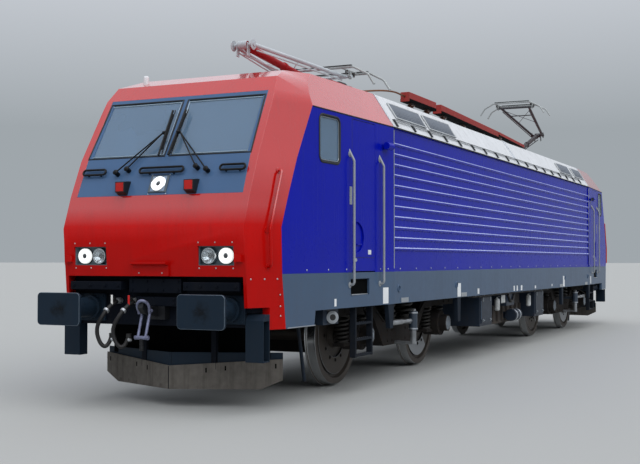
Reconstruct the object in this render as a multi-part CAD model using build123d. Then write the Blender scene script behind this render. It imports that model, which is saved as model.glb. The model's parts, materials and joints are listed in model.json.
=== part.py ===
from build123d import *
import math
import os

# Four-axle electric locomotive with two cabs, millimetres.
# X runs along the locomotive towards cab 1, Y to its left, Z up. The origin is in the middle,
# on the level of the flange tips, so the rail head lies one flange depth above it.

# Driving sizes: wheels and track
FLANGE_DEPTH = 28.0
TREAD_RADIUS = 625.0
BACK_TO_BACK = 1360.0
RIM_WIDTH = 140.0
FLANGE_WIDTH = 32.0
RIM_THICKNESS = 75.0
WEB_THICKNESS = 44.0
HUB_RADIUS = 150.0
HUB_LENGTH = 175.0
AXLE_RADIUS = 95.0
JOURNAL_RADIUS = 80.0
DISC_OUTER_RADIUS = 500.0
DISC_INNER_RADIUS = 290.0
DISC_THICKNESS = 34.0

# Driving sizes: bogies
PANEL_HALF_LENGTH = 6114.0
BOGIE_CENTRE = PANEL_HALF_LENGTH - 1164.0
WHEELBASE = 3000.0
WHEEL_FACE = BACK_TO_BACK / 2 + RIM_WIDTH
SIDE_BEAM_WIDTH = 160.0
SIDE_BEAM_Y = WHEEL_FACE + 120.0 + SIDE_BEAM_WIDTH / 2
SIDE_BEAM_FACE = SIDE_BEAM_Y + SIDE_BEAM_WIDTH / 2
SIDE_BEAM_TOP = TREAD_RADIUS + 375.0
SIDE_BEAM_END_BOTTOM = TREAD_RADIUS + 255.0
SIDE_BEAM_MIDDLE_TOP = TREAD_RADIUS + 135.0
SIDE_BEAM_MIDDLE_BOTTOM = TREAD_RADIUS - 205.0
SIDE_BEAM_HALF_LENGTH = WHEELBASE / 2 + 820.0
SIDE_BEAM_DROP_HALF = WHEELBASE / 2 - 860.0
SIDE_BEAM_DROP_SLOPE = 300.0
TRANSOM_HALF_LENGTH = 340.0
TRANSOM_BOTTOM = SIDE_BEAM_MIDDLE_BOTTOM + 10.0
END_BEAM_LENGTH = 120.0
KINGPIN_RADIUS = 150.0
KINGPIN_BOTTOM = TRANSOM_BOTTOM + 40.0
BOX_RADIUS = 185.0
BOX_COVER_RADIUS = 122.0
BOX_COVER_REACH = 110.0
BODY_HALF_WIDTH = 1475.0
BOX_FACE = BODY_HALF_WIDTH - 180.0
JOURNAL_END = BOX_FACE - BOX_COVER_REACH - 25.0
SPRING_OFFSET = 285.0
PRIMARY_SPRING_RADIUS = 95.0
PRIMARY_SEAT = TREAD_RADIUS - 85.0
SEAT_THICKNESS = 40.0
SECONDARY_SPRING_RADIUS = 135.0
SECONDARY_SPRING_OFFSET = 330.0
RUNNING_CLEARANCE = 0.1
SPRING_TOP_GAP = 8.0
DAMPER_Y = SIDE_BEAM_FACE + 260.0
DAMPER_TUBE_RADIUS = 58.0
YAW_DAMPER_RADIUS = 34.0

# Driving sizes: body. X is measured from the joint between machine room and cab at
# PANEL_HALF_LENGTH where a piece belongs to the cab, and from the buffer face at the end.
WALL = 70.0
SIDE_TAPER = 0.0504
FLOOR_THICKNESS = 85.0
WHEEL_HEADROOM = 52.0
SILL_TOP = 2 * TREAD_RADIUS + FLANGE_DEPTH + WHEEL_HEADROOM + FLOOR_THICKNESS
SILL_BOTTOM = SILL_TOP - 409.0
SKIRT_BOTTOM = SILL_BOTTOM - 166.0
SKIRT_REAR = PANEL_HALF_LENGTH + 2086.0
SIDE_TOP = 3255.0
SHOULDER_TOP = SIDE_TOP + 139.0
ROOF_EDGE = SIDE_TOP + 315.0
ROOF_TOP = SIDE_TOP + 445.0
RIB_COUNT = 11
RIB_BOTTOM = SILL_TOP + 286.5
RIB_PITCH = (SIDE_TOP - 217.5 - RIB_BOTTOM) / (RIB_COUNT - 1)
RIB_RADIUS = 24.0
RIB_PROUD = 18.0
BUFFER_HEIGHT = 1045.0
NOSE_BOTTOM = BUFFER_HEIGHT + 343.0
CHAMFER_BOTTOM = BUFFER_HEIGHT + 25.0
CHAMFER_STEP_X = PANEL_HALF_LENGTH + 2936.0
SCREEN_BOTTOM = 2252.0
SCREEN_KNEE = SCREEN_BOTTOM + 413.0

# Cab form, one row a level: height, front X from the joint, front half width, crease X from
# the joint, shoulder set in. Between the rows the skin is straight. The crease parts the nose
# from the cab side.
CAB_FORM = [
    (SKIRT_BOTTOM, 3176.0, 1138.0, 2734.0, 0.0),
    (NOSE_BOTTOM, 3225.0, 1138.0, 2810.0, 0.0),
    (1902.0, 3271.0, 1136.0, 2828.0, 0.0),
    (SCREEN_BOTTOM, 3147.0, 1137.0, 2681.0, 0.0),
    (SCREEN_KNEE, 2967.0, 1136.0, 2492.0, 0.0),
    (SIDE_TOP, 2619.0, 1112.0, 2156.0, 0.0),
    (SHOULDER_TOP, 2537.0, 1100.0, 2061.0, 90.0),
    (ROOF_EDGE, 2386.0, 1050.0, 1906.0, 204.0),
    (ROOF_TOP, 2006.0, 930.0, 1666.0, 288.0),
]
CAB_LEVELS = [(height, PANEL_HALF_LENGTH + front, half, PANEL_HALF_LENGTH + crease, shoulder)
              for height, front, half, crease, shoulder in CAB_FORM]

# Windows and doors
SCREEN_TOP = SHOULDER_TOP
SCREEN_HALF_BOTTOM = 1052.0
SCREEN_HALF_TOP = 1022.0
GLASS_BOTTOM = SCREEN_KNEE + 20.0
GLASS_TOP = SCREEN_TOP - 49.0
GLASS_EDGE = 48.0
PILLAR_HALF = 50.0
GLASS_THICKNESS = 20.0
GLASS_SET_IN = 12.0
SIDE_WINDOW_X = (PANEL_HALF_LENGTH + 1506.0, PANEL_HALF_LENGTH + 1996.0)
SIDE_WINDOW_Z = (SIDE_TOP - 595.0, SIDE_TOP - 70.0)
SIDE_WINDOW_CORNER = 70.0
DOOR_X = (PANEL_HALF_LENGTH + 566.0, PANEL_HALF_LENGTH + 1186.0)
DOOR_Z = (SILL_TOP + 15.0, SIDE_TOP - 40.0)
DOOR_THICKNESS = 50.0
DOOR_GAP = 7.0
HINGE_RADIUS = 6.0
POCKET_DEPTH = 20.0
POCKET_HALF_HEIGHT = 185.0
POCKET_REACH = 200.0
POCKET_Z = SILL_TOP + 415.0
HANDLE_Z = POCKET_Z - 85.0
HANDLE_RADIUS = 8.0
STEP_HOLE_X = (DOOR_X[0] + 160.0, DOOR_X[1] + 40.0)
STEP_HOLE_Z = (SILL_BOTTOM + 141.0, SILL_BOTTOM + 335.0)

# Cab inside
BULKHEAD_X = PANEL_HALF_LENGTH + 366.0
BULKHEAD_THICKNESS = 40.0
DESK_REAR = PANEL_HALF_LENGTH + 2216.0
DESK_EDGE = SILL_TOP + 800.0
SEAT_X = PANEL_HALF_LENGTH + 1786.0
SEAT_Y = -480.0
SEAT_HEIGHT = SILL_TOP + 465.0
SEAT_BACK_TOP = SEAT_HEIGHT + 640.0

# Rails, steps and lamps
RAIL_RADIUS = 15.0
RAIL_STAND_OFF = 58.0
DOOR_RAIL_X = [DOOR_X[0] - 136.0, DOOR_X[1] + 67.0]
DOOR_RAIL_Z = (SILL_TOP - 145.0, SIDE_TOP - 535.0, SIDE_TOP - 425.0)
NOSE_RAIL_LEVELS = (NOSE_BOTTOM + 102.0, NOSE_BOTTOM + 482.0, SCREEN_BOTTOM + 248.0)
NOSE_RAIL_SHARE = 0.6
CAMERA_X = PANEL_HALF_LENGTH + 290.0
CAMERA_Z = SIDE_TOP - 277.0
CAMERA_RADIUS = 46.0
LADDER_X = (DOOR_X[0] - 80.0, DOOR_X[1] - 200.0)
LADDER_Y = (BODY_HALF_WIDTH - 175.0, BODY_HALF_WIDTH - 100.0)
LADDER_BOTTOM = 400.0
LADDER_TREADS = [LADDER_BOTTOM + 20.0, LADDER_BOTTOM + 210.0, LADDER_BOTTOM + 400.0]
LOOP_RADIUS = 12.0
LOOP_WIDTH = 62.0
LOOP_HEIGHT = SCREEN_BOTTOM + 264.0
HEADLIGHT_RADIUS = 74.0
HEADLIGHT_Z = LOOP_HEIGHT - 149.0
MARKER_Y = 435.0
MARKER_HALF = 58.0
MARKER_Z = (HEADLIGHT_Z - 77.0, HEADLIGHT_Z + 35.0)
MARKER_FACE = PANEL_HALF_LENGTH + 3204.0
CLUSTER_Y = (578.0, 1002.0)
CLUSTER_Z = (NOSE_BOTTOM + 115.0, NOSE_BOTTOM + 315.0)
CLUSTER_FACE = PANEL_HALF_LENGTH + 3231.0
CLUSTER_DEPTH = 70.0
CLUSTER_WALL = 8.0
# Lamps of each cluster: distance from its outer edge, radius
CLUSTER_LENSES = [(112.0, 90.0), (312.0, 84.0)]
AERIAL_X = PANEL_HALF_LENGTH + 2216.0
AERIAL_Y = -780.0
AERIAL_RADIUS = 33.0
AERIAL_RISE = 25.0

# Ends
BUFFER_FACE = PANEL_HALF_LENGTH + 3676.0
BUFFER_SPACING = 1750.0
BUFFER_PLATE_WIDTH = 550.0
BUFFER_PLATE_HEIGHT = 345.0
BUFFER_PLATE_CORNER = 45.0
BUFFER_PLATE_THICKNESS = 34.0
BEAM_FRONT = BUFFER_FACE - 620.0
BEAM_REAR = BEAM_FRONT - 180.0
BEAM_BOTTOM = BUFFER_HEIGHT - 185.0
BEAM_NARROW_HALF = 1050.0
BEAM_NARROW_TOP = BUFFER_HEIGHT - 35.0
SAND_BOX_X = (BOGIE_CENTRE + SIDE_BEAM_HALF_LENGTH + 110.0, BOGIE_CENTRE + SIDE_BEAM_HALF_LENGTH + 530.0)
SAND_BOX_Y = (BODY_HALF_WIDTH - 505.0, BODY_HALF_WIDTH - 205.0)
SAND_BOX_BOTTOM = SILL_BOTTOM - 186.0

# Far ends of the blocks that cut the skin
FAR_X = BUFFER_FACE + 200.0
NEAR_X = PANEL_HALF_LENGTH + 1600.0
FAR_Y = BODY_HALF_WIDTH + 125.0
ABOVE = ROOF_TOP + 200.0
BELOW = SKIRT_BOTTOM - 140.0

# Pantographs
MAST_X = 5300.0
MAST_HEIGHT = ROOF_TOP + 320.0
LOWER_ARM = 2100.0
UPPER_ARM = 2120.0
FOLDED_LOWER = 4.9
FOLDED_UPPER = -2.6
ARM_RATIO = 1.13
KNEE_HALF_WIDTH = 120.0
STRIP_SPACING = 570.0

# Roof fittings, each a table
# Conductor boxes: X from, X to, rise of the top over the roof at each end, depth
DUCT_Y = 500.0
DUCT_HALF_WIDTH = 75.0
DUCTS = [
    (1890.0, 3160.0, 490.0, 490.0, 150.0),
    (-1840.0, 1640.0, 410.0, 490.0, 150.0),
    (-3830.0, -1900.0, 340.0, 410.0, 60.0),
]
# X of each post insulator under the boxes
DUCT_POSTS = [2150.0, 2900.0, 1350.0, 250.0, -850.0, -1600.0, -2100.0, -3500.0]
# Air intake panels on the left roof slope: X from, X to
SLOPE_PANELS = [
    (PANEL_HALF_LENGTH - 2774.0, PANEL_HALF_LENGTH - 1614.0),
    (PANEL_HALF_LENGTH - 1464.0, PANEL_HALF_LENGTH - 314.0),
    (-PANEL_HALF_LENGTH + 1314.0, -PANEL_HALF_LENGTH + 2434.0),
    (-PANEL_HALF_LENGTH + 84.0, -PANEL_HALF_LENGTH + 1034.0),
]
SLOPE_PANEL_Z = (SHOULDER_TOP + 11.0, SHOULDER_TOP + 216.0)
LUG_COUNT = 18
LUG_HALF_WIDTH = 12.0
LUG_HEIGHT = (20.0, 122.0)
LUG_FIRST = PANEL_HALF_LENGTH - 145.0
LUG_PITCH = (LUG_FIRST + PANEL_HALF_LENGTH - 828.0) / (LUG_COUNT - 1)
LUG_X = [LUG_FIRST - n * LUG_PITCH for n in range(LUG_COUNT)]

# Legs under the sill beside each bogie, the outer one tapered: X from and to at the sill, X from
# and to at the foot, height of the foot
SILL_LEGS = [
    (PANEL_HALF_LENGTH - 24, PANEL_HALF_LENGTH + 176, PANEL_HALF_LENGTH + 6, PANEL_HALF_LENGTH + 111,
     SILL_BOTTOM - 306.0),
    (BOGIE_CENTRE - 1590, BOGIE_CENTRE - 1440, BOGIE_CENTRE - 1575, BOGIE_CENTRE - 1455, SILL_BOTTOM - 356.0),
]

# Fittings on the left of the transformer: X from, X to, bottom, top. The first is a tank.
SIDE_FITTINGS = [(-460.0, -40.0, 455.0, 705.0), (60.0, 560.0, 770.0, 980.0), (640.0, 900.0, 820.0, 970.0)]


def up(height):
    """Height above the rail head, in the model's frame."""
    return FLANGE_DEPTH + height


def block(x, y, z):
    """Box between two X, two Y and two Z, the Z above the rail head."""
    size = (x[1] - x[0], y[1] - y[0], z[1] - z[0])
    middle = ((x[0] + x[1]) / 2, (y[0] + y[1]) / 2, up((z[0] + z[1]) / 2))
    return Pos(*middle) * Box(*size)


def both_sides(shape):
    return [shape, mirror(shape, Plane.XZ)]


def turned(shape):
    """The same piece at the other end."""
    return Rot(0, 0, 180) * shape


def both_ends(shapes):
    return list(shapes) + [turned(shape) for shape in shapes]


def side_prism(points, y0, y1):
    """Prism across the locomotive, from an outline of (X, height above the rail head)."""
    wire = Polyline([Vector(x, y0, up(z)) for x, z in points], close=True)
    return extrude(make_face(wire), amount=y1 - y0, dir=(0, 1, 0))


def cross_prism(points, x0, x1):
    """Prism along the locomotive, from an outline of (Y, height above the rail head)."""
    wire = Polyline([Vector(x0, y, up(z)) for y, z in points], close=True)
    return extrude(make_face(wire), amount=x1 - x0, dir=(1, 0, 0))


def plan_prism(points, z0, z1):
    """Upright prism from an outline of (X, Y)."""
    wire = Polyline([Vector(x, y, up(z0)) for x, y in points], close=True)
    return extrude(make_face(wire), amount=z1 - z0, dir=(0, 0, 1))


def rod(start, end, radius):
    """Round bar between two points, heights above the rail head."""
    a = Vector(start[0], start[1], up(start[2]))
    b = Vector(end[0], end[1], up(end[2]))
    return extrude(Plane(origin=a, z_dir=b - a) * Circle(radius), amount=(b - a).length)


def bent_rod(points, radius, bend):
    """Round bar along straight runs joined by equal bends."""
    path = FilletPolyline([Vector(x, y, up(z)) for x, y, z in points], radius=bend)
    start = Plane(origin=path @ 0, z_dir=path % 0)
    return sweep(start * Circle(radius), path=path)


def across(x, z, radius, y0, y1):
    """Cylinder along Y."""
    return rod((x, y0, z), (x, y1, z), radius)


def upright(x, y, radius, z0, z1):
    """Cylinder along Z."""
    return rod((x, y, z0), (x, y, z1), radius)


def export(name, solids):
    pieces = []
    for solid in solids:
        pieces.extend(solid.solids())
    shape = pieces[0] if len(pieces) == 1 else Compound(children=pieces)
    export_step(shape, f"parts/{name}.step")


os.makedirs("parts", exist_ok=True)


# Cab form

def taper_y(x):
    """The line that the body side follows along the cab, in plan."""
    return BODY_HALF_WIDTH - SIDE_TAPER * (x - PANEL_HALF_LENGTH)


def side_y(x):
    """Outer face of the body side, which draws in along the cab."""
    return min(BODY_HALF_WIDTH, taper_y(x))


def cab_ring(level, inset, rear):
    """Six corners of the cab's outline at one level: rear, crease and front on each side."""
    height, front, front_half, crease, shoulder = level
    top = height - inset if height > SIDE_TOP + 200 else height
    crease_x = crease - inset
    left = [(rear, taper_y(rear) - shoulder - inset), (crease_x, taper_y(crease_x) - shoulder - inset),
            (front - inset, front_half - 0.6 * inset)]
    ring = left + [(x, -y) for x, y in reversed(left)]
    return [Vector(x, y, up(top)) for x, y in ring]


def flat_face(corners):
    return make_face(Polyline(corners, close=True))


def cab_form(inset, rear=PANEL_HALF_LENGTH):
    """Closed cab form of flat faces. Each slanted corner panel is two triangles between levels."""
    levels = CAB_LEVELS
    bottom = CAB_LEVELS[0]
    if inset:
        levels = [(bottom[0] - 60,) + bottom[1:]] + CAB_LEVELS
    rings = [cab_ring(level, inset, rear) for level in levels]
    faces = [flat_face(rings[0]), flat_face(rings[-1])]
    for low, high in zip(rings[:-1], rings[1:]):
        for n in range(6):
            after = (n + 1) % 6
            if n == 1:
                faces += [flat_face([low[n], low[after], high[after]]), flat_face([low[n], high[after], high[n]])]
            elif n == 3:
                faces += [flat_face([low[n], low[after], high[n]]), flat_face([low[after], high[after], high[n]])]
            else:
                faces.append(flat_face([low[n], low[after], high[after], high[n]]))
    return Solid(Shell([face.faces()[0] for face in faces]))


cab_outer = cab_form(0)
cab_inner = cab_form(WALL, PANEL_HALF_LENGTH - 10)
cab_shell = cab_outer - cab_inner

crease_line = [(level[3], level[0]) for level in CAB_LEVELS]
nose_outline = [(crease_line[0][0], BELOW)] + crease_line
nose_outline += [(crease_line[-1][0], ABOVE), (FAR_X, ABOVE), (FAR_X, BELOW)]
nose_region = side_prism(nose_outline, -FAR_Y, FAR_Y)

screen_outline = [(-SCREEN_HALF_BOTTOM, SCREEN_BOTTOM), (SCREEN_HALF_BOTTOM, SCREEN_BOTTOM),
                  (SCREEN_HALF_TOP, SCREEN_TOP), (-SCREEN_HALF_TOP, SCREEN_TOP)]
screen_region = cross_prism(screen_outline, NEAR_X, FAR_X)


def screen_half(z):
    share = (z - SCREEN_BOTTOM) / (SCREEN_TOP - SCREEN_BOTTOM)
    return SCREEN_HALF_BOTTOM + share * (SCREEN_HALF_TOP - SCREEN_HALF_BOTTOM)


pane_outline = [(PILLAR_HALF, GLASS_BOTTOM), (screen_half(GLASS_BOTTOM) - GLASS_EDGE, GLASS_BOTTOM),
                (screen_half(GLASS_TOP) - GLASS_EDGE, GLASS_TOP), (PILLAR_HALF, GLASS_TOP)]
pane_regions = both_sides(cross_prism(pane_outline, NEAR_X, FAR_X))

nose_shell = cab_shell & nose_region
nose = nose_shell - screen_region
nose_half = CAB_FORM[1][2] - 38.0
nose -= block((BEAM_REAR - 90.0, FAR_X), (-nose_half, nose_half), (BELOW, NOSE_BOTTOM))
nose -= block((CHAMFER_STEP_X, FAR_X), (-FAR_Y, FAR_Y), (BELOW, CHAMFER_BOTTOM))
nose_face = CAB_LEVELS[1][1]
for side in (-1, 1):
    cluster_span = sorted((side * CLUSTER_Y[0], side * CLUSTER_Y[1]))
    nose -= block((BEAM_REAR, FAR_X), cluster_span, CLUSTER_Z)
    lug_span = sorted((side * (CLUSTER_Y[1] + 23.0), side * (CLUSTER_Y[1] + 103.0)))
    lug = block((nose_face - 59.0, nose_face + 61.0), lug_span, (NOSE_BOTTOM + 152.0, NOSE_BOTTOM + 224.0))
    nose += lug - cab_outer
# Step on the nose: X before its lower edge, height over it
step_outline = [(-59, 4), (29, 4), (33, 112), (91, 130), (91, 152), (-59, 152)]
step_gap = [(37, -8), (37, 112), (111, 126), (111, -8)]
nose_step = side_prism([(nose_face + x, NOSE_BOTTOM + z) for x, z in step_outline], -225.0, 225.0)
nose_step -= side_prism([(nose_face + x, NOSE_BOTTOM + z) for x, z in step_gap], -150.0, 150.0)
nose += nose_step - cab_outer
export("cab_noses", both_ends(nose.solids()))

screen_frame = nose_shell & screen_region
for region in pane_regions:
    screen_frame -= region
export("screen_frames", both_ends([screen_frame]))

glass_shell = cab_form(GLASS_SET_IN) - cab_form(GLASS_SET_IN + GLASS_THICKNESS, PANEL_HALF_LENGTH - 10)
panes = [(glass_shell & region).solids()[0] for region in pane_regions]


# Cab sides, doors and side windows

rear_shell = cab_shell - nose_region
rear_span = (PANEL_HALF_LENGTH, BEAM_REAR)


def side_tile(x, z, depth, corner=0.0):
    """Tile in the cab's left side, from its outer face inwards, with its ends square to the face."""
    tile = block(x, (-depth, 0.0), z)
    if corner:
        tile = fillet(tile.edges().filter_by(Axis.Y), corner)
    return on_side(tile)


def on_side(shape):
    """Puts a shape drawn against the plane Y = 0 on the cab's drawn-in left side."""
    hinge = Pos(PANEL_HALF_LENGTH, BODY_HALF_WIDTH, 0) * Rot(0, 0, -math.degrees(math.atan(SIDE_TAPER)))
    return hinge * Pos(-PANEL_HALF_LENGTH, 0, 0) * shape


door_opening = Pos(0, 60, 0) * block((DOOR_X[0] - DOOR_GAP, DOOR_X[1] + DOOR_GAP), (-400.0, 0.0),
                                     (SILL_TOP, DOOR_Z[1] + DOOR_GAP))
door_opening = on_side(door_opening)
window_opening = on_side(Pos(0, 60, 0) * fillet(
    block(SIDE_WINDOW_X, (-400.0, 0.0), SIDE_WINDOW_Z).edges().filter_by(Axis.Y), SIDE_WINDOW_CORNER))

cab_side = rear_shell & block(rear_span, (0.0, FAR_Y), (SILL_TOP, SIDE_TOP))
cab_side = cab_side - door_opening - window_opening
export("cab_sides", both_ends(both_sides(cab_side)))

rear_camera = rod((CAMERA_X - 85, 62.0, CAMERA_Z), (CAMERA_X + 75, 62.0, CAMERA_Z), CAMERA_RADIUS)
rear_camera += block((CAMERA_X - 40, CAMERA_X + 40), (0.0, 62.0), (CAMERA_Z - 22, CAMERA_Z + 22))
export("rear_cameras", both_ends(both_sides(on_side(rear_camera))))

side_glass = side_tile(SIDE_WINDOW_X, SIDE_WINDOW_Z, GLASS_SET_IN + GLASS_THICKNESS, SIDE_WINDOW_CORNER)
side_glass -= on_side(block(SIDE_WINDOW_X, (-GLASS_SET_IN, 10.0), (SIDE_WINDOW_Z[0] - 10, SIDE_WINDOW_Z[1] + 10)))
export("cab_windows", both_ends(panes + both_sides(side_glass)))

door = block(DOOR_X, (-DOOR_THICKNESS, 0.0), DOOR_Z)
door += upright(DOOR_X[0], -DOOR_THICKNESS, HINGE_RADIUS, SILL_TOP + RUNNING_CLEARANCE, DOOR_Z[1])
pocket_x = DOOR_X[1] - 110.0
pocket_face = Plane(origin=(pocket_x, 0, up(POCKET_Z)), x_dir=(1, 0, 0), z_dir=(0, -1, 0))
pocket = extrude(pocket_face * Ellipse(POCKET_REACH, POCKET_HALF_HEIGHT), amount=POCKET_DEPTH)
door -= pocket & block((DOOR_X[0], pocket_x + 10), (-POCKET_DEPTH, 0.0), (SILL_TOP, SIDE_TOP))
door += across(pocket_x - 40, HANDLE_Z, HANDLE_RADIUS + 3, -DOOR_THICKNESS / 2, -0.5)
handle_y = -HANDLE_RADIUS - 1
handle_start = (pocket_x - 40, handle_y, HANDLE_Z)
door += rod(handle_start, (pocket_x - 155, handle_y, HANDLE_Z), HANDLE_RADIUS)
door = on_side(door)
for end, turn in (("1", lambda s: s), ("2", turned)):
    export(f"door_{end}_left", [turn(door) if end == "1" else turn(mirror(door, Plane.XZ))])
    export(f"door_{end}_right", [turn(mirror(door, Plane.XZ)) if end == "1" else turn(door)])

cab_roof = rear_shell & block(rear_span, (-FAR_Y, FAR_Y), (SIDE_TOP, ABOVE))
export("cab_roofs", both_ends([cab_roof]))


# Machine room: corrugated sides and roof

panel = block((-PANEL_HALF_LENGTH, PANEL_HALF_LENGTH), (BODY_HALF_WIDTH - WALL, BODY_HALF_WIDTH - RIB_PROUD),
              (SILL_TOP, SIDE_TOP))
for number in range(RIB_COUNT):
    rib_z = RIB_BOTTOM + number * RIB_PITCH
    panel += rod((-PANEL_HALF_LENGTH, BODY_HALF_WIDTH - RIB_RADIUS, rib_z),
                 (PANEL_HALF_LENGTH, BODY_HALF_WIDTH - RIB_RADIUS, rib_z), RIB_RADIUS)
export("side_panels", both_sides(panel))


def roof_outline(inset):
    levels = [level for level in CAB_LEVELS if level[0] >= SIDE_TOP]
    half = []
    for height, _, _, _, shoulder in levels:
        top = height - inset if height > SIDE_TOP + 200 else height
        half.append((BODY_HALF_WIDTH - shoulder - inset, top))
    return half + [(-y, z) for y, z in reversed(half)]


roof = cross_prism(roof_outline(0), -PANEL_HALF_LENGTH, PANEL_HALF_LENGTH)
roof -= cross_prism(roof_outline(WALL), -PANEL_HALF_LENGTH - 10, PANEL_HALF_LENGTH + 10)
export("roof_shell", [roof])


# Cab inside: bulkheads, desks and seats

bulkhead = cab_inner & block((BULKHEAD_X, BULKHEAD_X + BULKHEAD_THICKNESS), (-FAR_Y, FAR_Y), (SILL_TOP, ABOVE))
export("cab_bulkheads", both_ends([bulkhead]))

desk = cab_inner & side_prism([(DESK_REAR, SILL_TOP), (DESK_REAR, DESK_EDGE - 35), (DESK_REAR - 70, DESK_EDGE),
                               (DESK_REAR - 30, DESK_EDGE + 55), (DESK_REAR + 170, DESK_EDGE + 85),
                               (DESK_REAR + 970, DESK_EDGE + 135), (DESK_REAR + 970, DESK_EDGE + 85),
                               (DESK_REAR + 170, DESK_EDGE + 35), (DESK_REAR + 40, DESK_EDGE),
                               (DESK_REAR + 40, SILL_TOP)], -FAR_Y, FAR_Y)
export("driver_desks", both_ends([desk]))

seat = upright(SEAT_X, SEAT_Y, 60.0, SILL_TOP, SEAT_HEIGHT - 90)
seat += upright(SEAT_X, SEAT_Y, 210.0, SILL_TOP, SILL_TOP + 25)
seat += block((SEAT_X - 240, SEAT_X + 230), (SEAT_Y - 240, SEAT_Y + 240), (SEAT_HEIGHT - 100, SEAT_HEIGHT))
seat += side_prism([(SEAT_X - 240, SEAT_HEIGHT - 60), (SEAT_X - 130, SEAT_HEIGHT - 60),
                    (SEAT_X - 210, SEAT_BACK_TOP), (SEAT_X - 300, SEAT_BACK_TOP)], SEAT_Y - 225, SEAT_Y + 225)
export("driver_seats", both_ends([seat]))


# Handrails: door rails, nose rails, and the loops under the windscreen

def at_level(height, share=0.0):
    """Point (X, Y) on the left chamfer at a height: share 0 is its front edge, 1 the crease."""
    for low, high in zip(CAB_LEVELS[:-1], CAB_LEVELS[1:]):
        if low[0] <= height <= high[0]:
            part = (height - low[0]) / (high[0] - low[0])
            front, half, crease = [low[n] + part * (high[n] - low[n]) for n in (1, 2, 3)]
            return front + share * (crease - front), half + share * (side_y(crease) - half)


def off_chamfer(height, distance):
    x0, y0 = at_level(height, 0.0)
    x1, y1 = at_level(height, 1.0)
    length = math.hypot(x1 - x0, y1 - y0)
    x, y = at_level(height, NOSE_RAIL_SHARE)
    return (x + distance * (y1 - y0) / length, y + distance * (x0 - x1) / length, height)


door_rails = []
for x in DOOR_RAIL_X:
    low, knee, top = DOOR_RAIL_Z
    rail = bent_rod([(x, -20.0, low), (x, RAIL_STAND_OFF, low), (x, RAIL_STAND_OFF, knee), (x, -20.0, top + 38)],
                    RAIL_RADIUS, 40.0)
    door_rails += both_sides(on_side(rail) - cab_outer)
export("handrails", both_ends(door_rails))
nose_rail_path = [off_chamfer(NOSE_RAIL_LEVELS[0], -30.0)]
nose_rail_path += [off_chamfer(level, RAIL_STAND_OFF) for level in NOSE_RAIL_LEVELS]
nose_rail_path += [off_chamfer(NOSE_RAIL_LEVELS[2], -30.0)]
nose_rail = bent_rod(nose_rail_path, RAIL_RADIUS, 38.0) - cab_outer
export("nose_rails", both_ends(both_sides(nose_rail)))

panel_low, panel_high = CAB_LEVELS[3], CAB_LEVELS[4]
panel_run = Vector(panel_high[1] - panel_low[1], 0, panel_high[0] - panel_low[0]).normalized()
panel_normal = Vector(panel_run.Z, 0, -panel_run.X)


def panel_plane(height, y):
    """Plane on the sloped panel under the windscreen: its x to the left, its y up the slope."""
    return Plane(origin=(at_level(height)[0], y, up(height)), x_dir=(0, 1, 0), z_dir=panel_normal)


def grab_loop(y, half_length):
    plane = panel_plane(LOOP_HEIGHT, y)
    line = (plane.offset(LOOP_WIDTH / 2) * SlotOverall(2 * half_length, LOOP_WIDTH)).wire()
    loop = sweep(Plane(origin=line @ 0, z_dir=line % 0) * Circle(LOOP_RADIUS), path=line)
    for share in (-0.55, 0.55):
        foot = plane.offset(-25.0) * Pos(share * half_length, -LOOP_WIDTH / 2, 0) * Cylinder(
            10.0, LOOP_WIDTH / 2 + 25.0, align=(Align.CENTER, Align.CENTER, Align.MIN))
        loop += foot
    return loop - cab_outer


loops = [grab_loop(0.0, 278.0)] + both_sides(grab_loop(880.0, 150.0))
export("nose_loops", both_ends(loops))


# Lamps: headlight, marker lamps and the two clusters in the nose

housings = []
lenses = []
head_plane = panel_plane(HEADLIGHT_Z, 0.0)
housing = extrude(head_plane.offset(-40.0) * Rectangle(230.0, 200.0), amount=56.0) - cab_outer
lens = extrude(head_plane.offset(6.0) * Circle(HEADLIGHT_RADIUS), amount=16.0)
housings.append(housing - lens)
lenses.append(lens)
marker_outline = [(MARKER_FACE, MARKER_Z[1]), (MARKER_FACE, MARKER_Z[0]), (MARKER_FACE - 56, MARKER_Z[0] - 32),
                  (MARKER_FACE - 218, MARKER_Z[0] - 32), (MARKER_FACE - 218, MARKER_Z[1] + 10),
                  (MARKER_FACE - 78, MARKER_Z[1] + 10)]
marker = side_prism(marker_outline, MARKER_Y - MARKER_HALF, MARKER_Y + MARKER_HALF) - cab_outer
lens_y = (MARKER_Y - MARKER_HALF + 6, MARKER_Y + MARKER_HALF - 6)
marker_lens = block((MARKER_FACE, MARKER_FACE + 8), lens_y, (MARKER_Z[0] + 6, MARKER_Z[1] - 6))
housings += both_sides(marker)
lenses += both_sides(marker_lens)
tray_x = (CLUSTER_FACE - CLUSTER_DEPTH, CLUSTER_FACE)
tray = block(tray_x, CLUSTER_Y, CLUSTER_Z)
tray -= block((tray_x[0] + CLUSTER_WALL, FAR_X), (CLUSTER_Y[0] + CLUSTER_WALL, CLUSTER_Y[1] - CLUSTER_WALL),
              (CLUSTER_Z[0] + CLUSTER_WALL, CLUSTER_Z[1] - CLUSTER_WALL))
housings += both_sides(tray)
cluster_middle = (CLUSTER_Z[0] + CLUSTER_Z[1]) / 2
for from_edge, lens_radius in CLUSTER_LENSES:
    lens_y = CLUSTER_Y[1] - from_edge
    lens_x = (tray_x[0] + CLUSTER_WALL, CLUSTER_FACE - 13)
    lens = rod((lens_x[0], lens_y, cluster_middle), (lens_x[1], lens_y, cluster_middle), lens_radius)
    lenses += both_sides(lens)
export("lamp_housings", both_ends(housings))
export("lamp_lenses", both_ends(lenses))


# Windscreen wipers, one a pane, each with two arms

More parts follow.
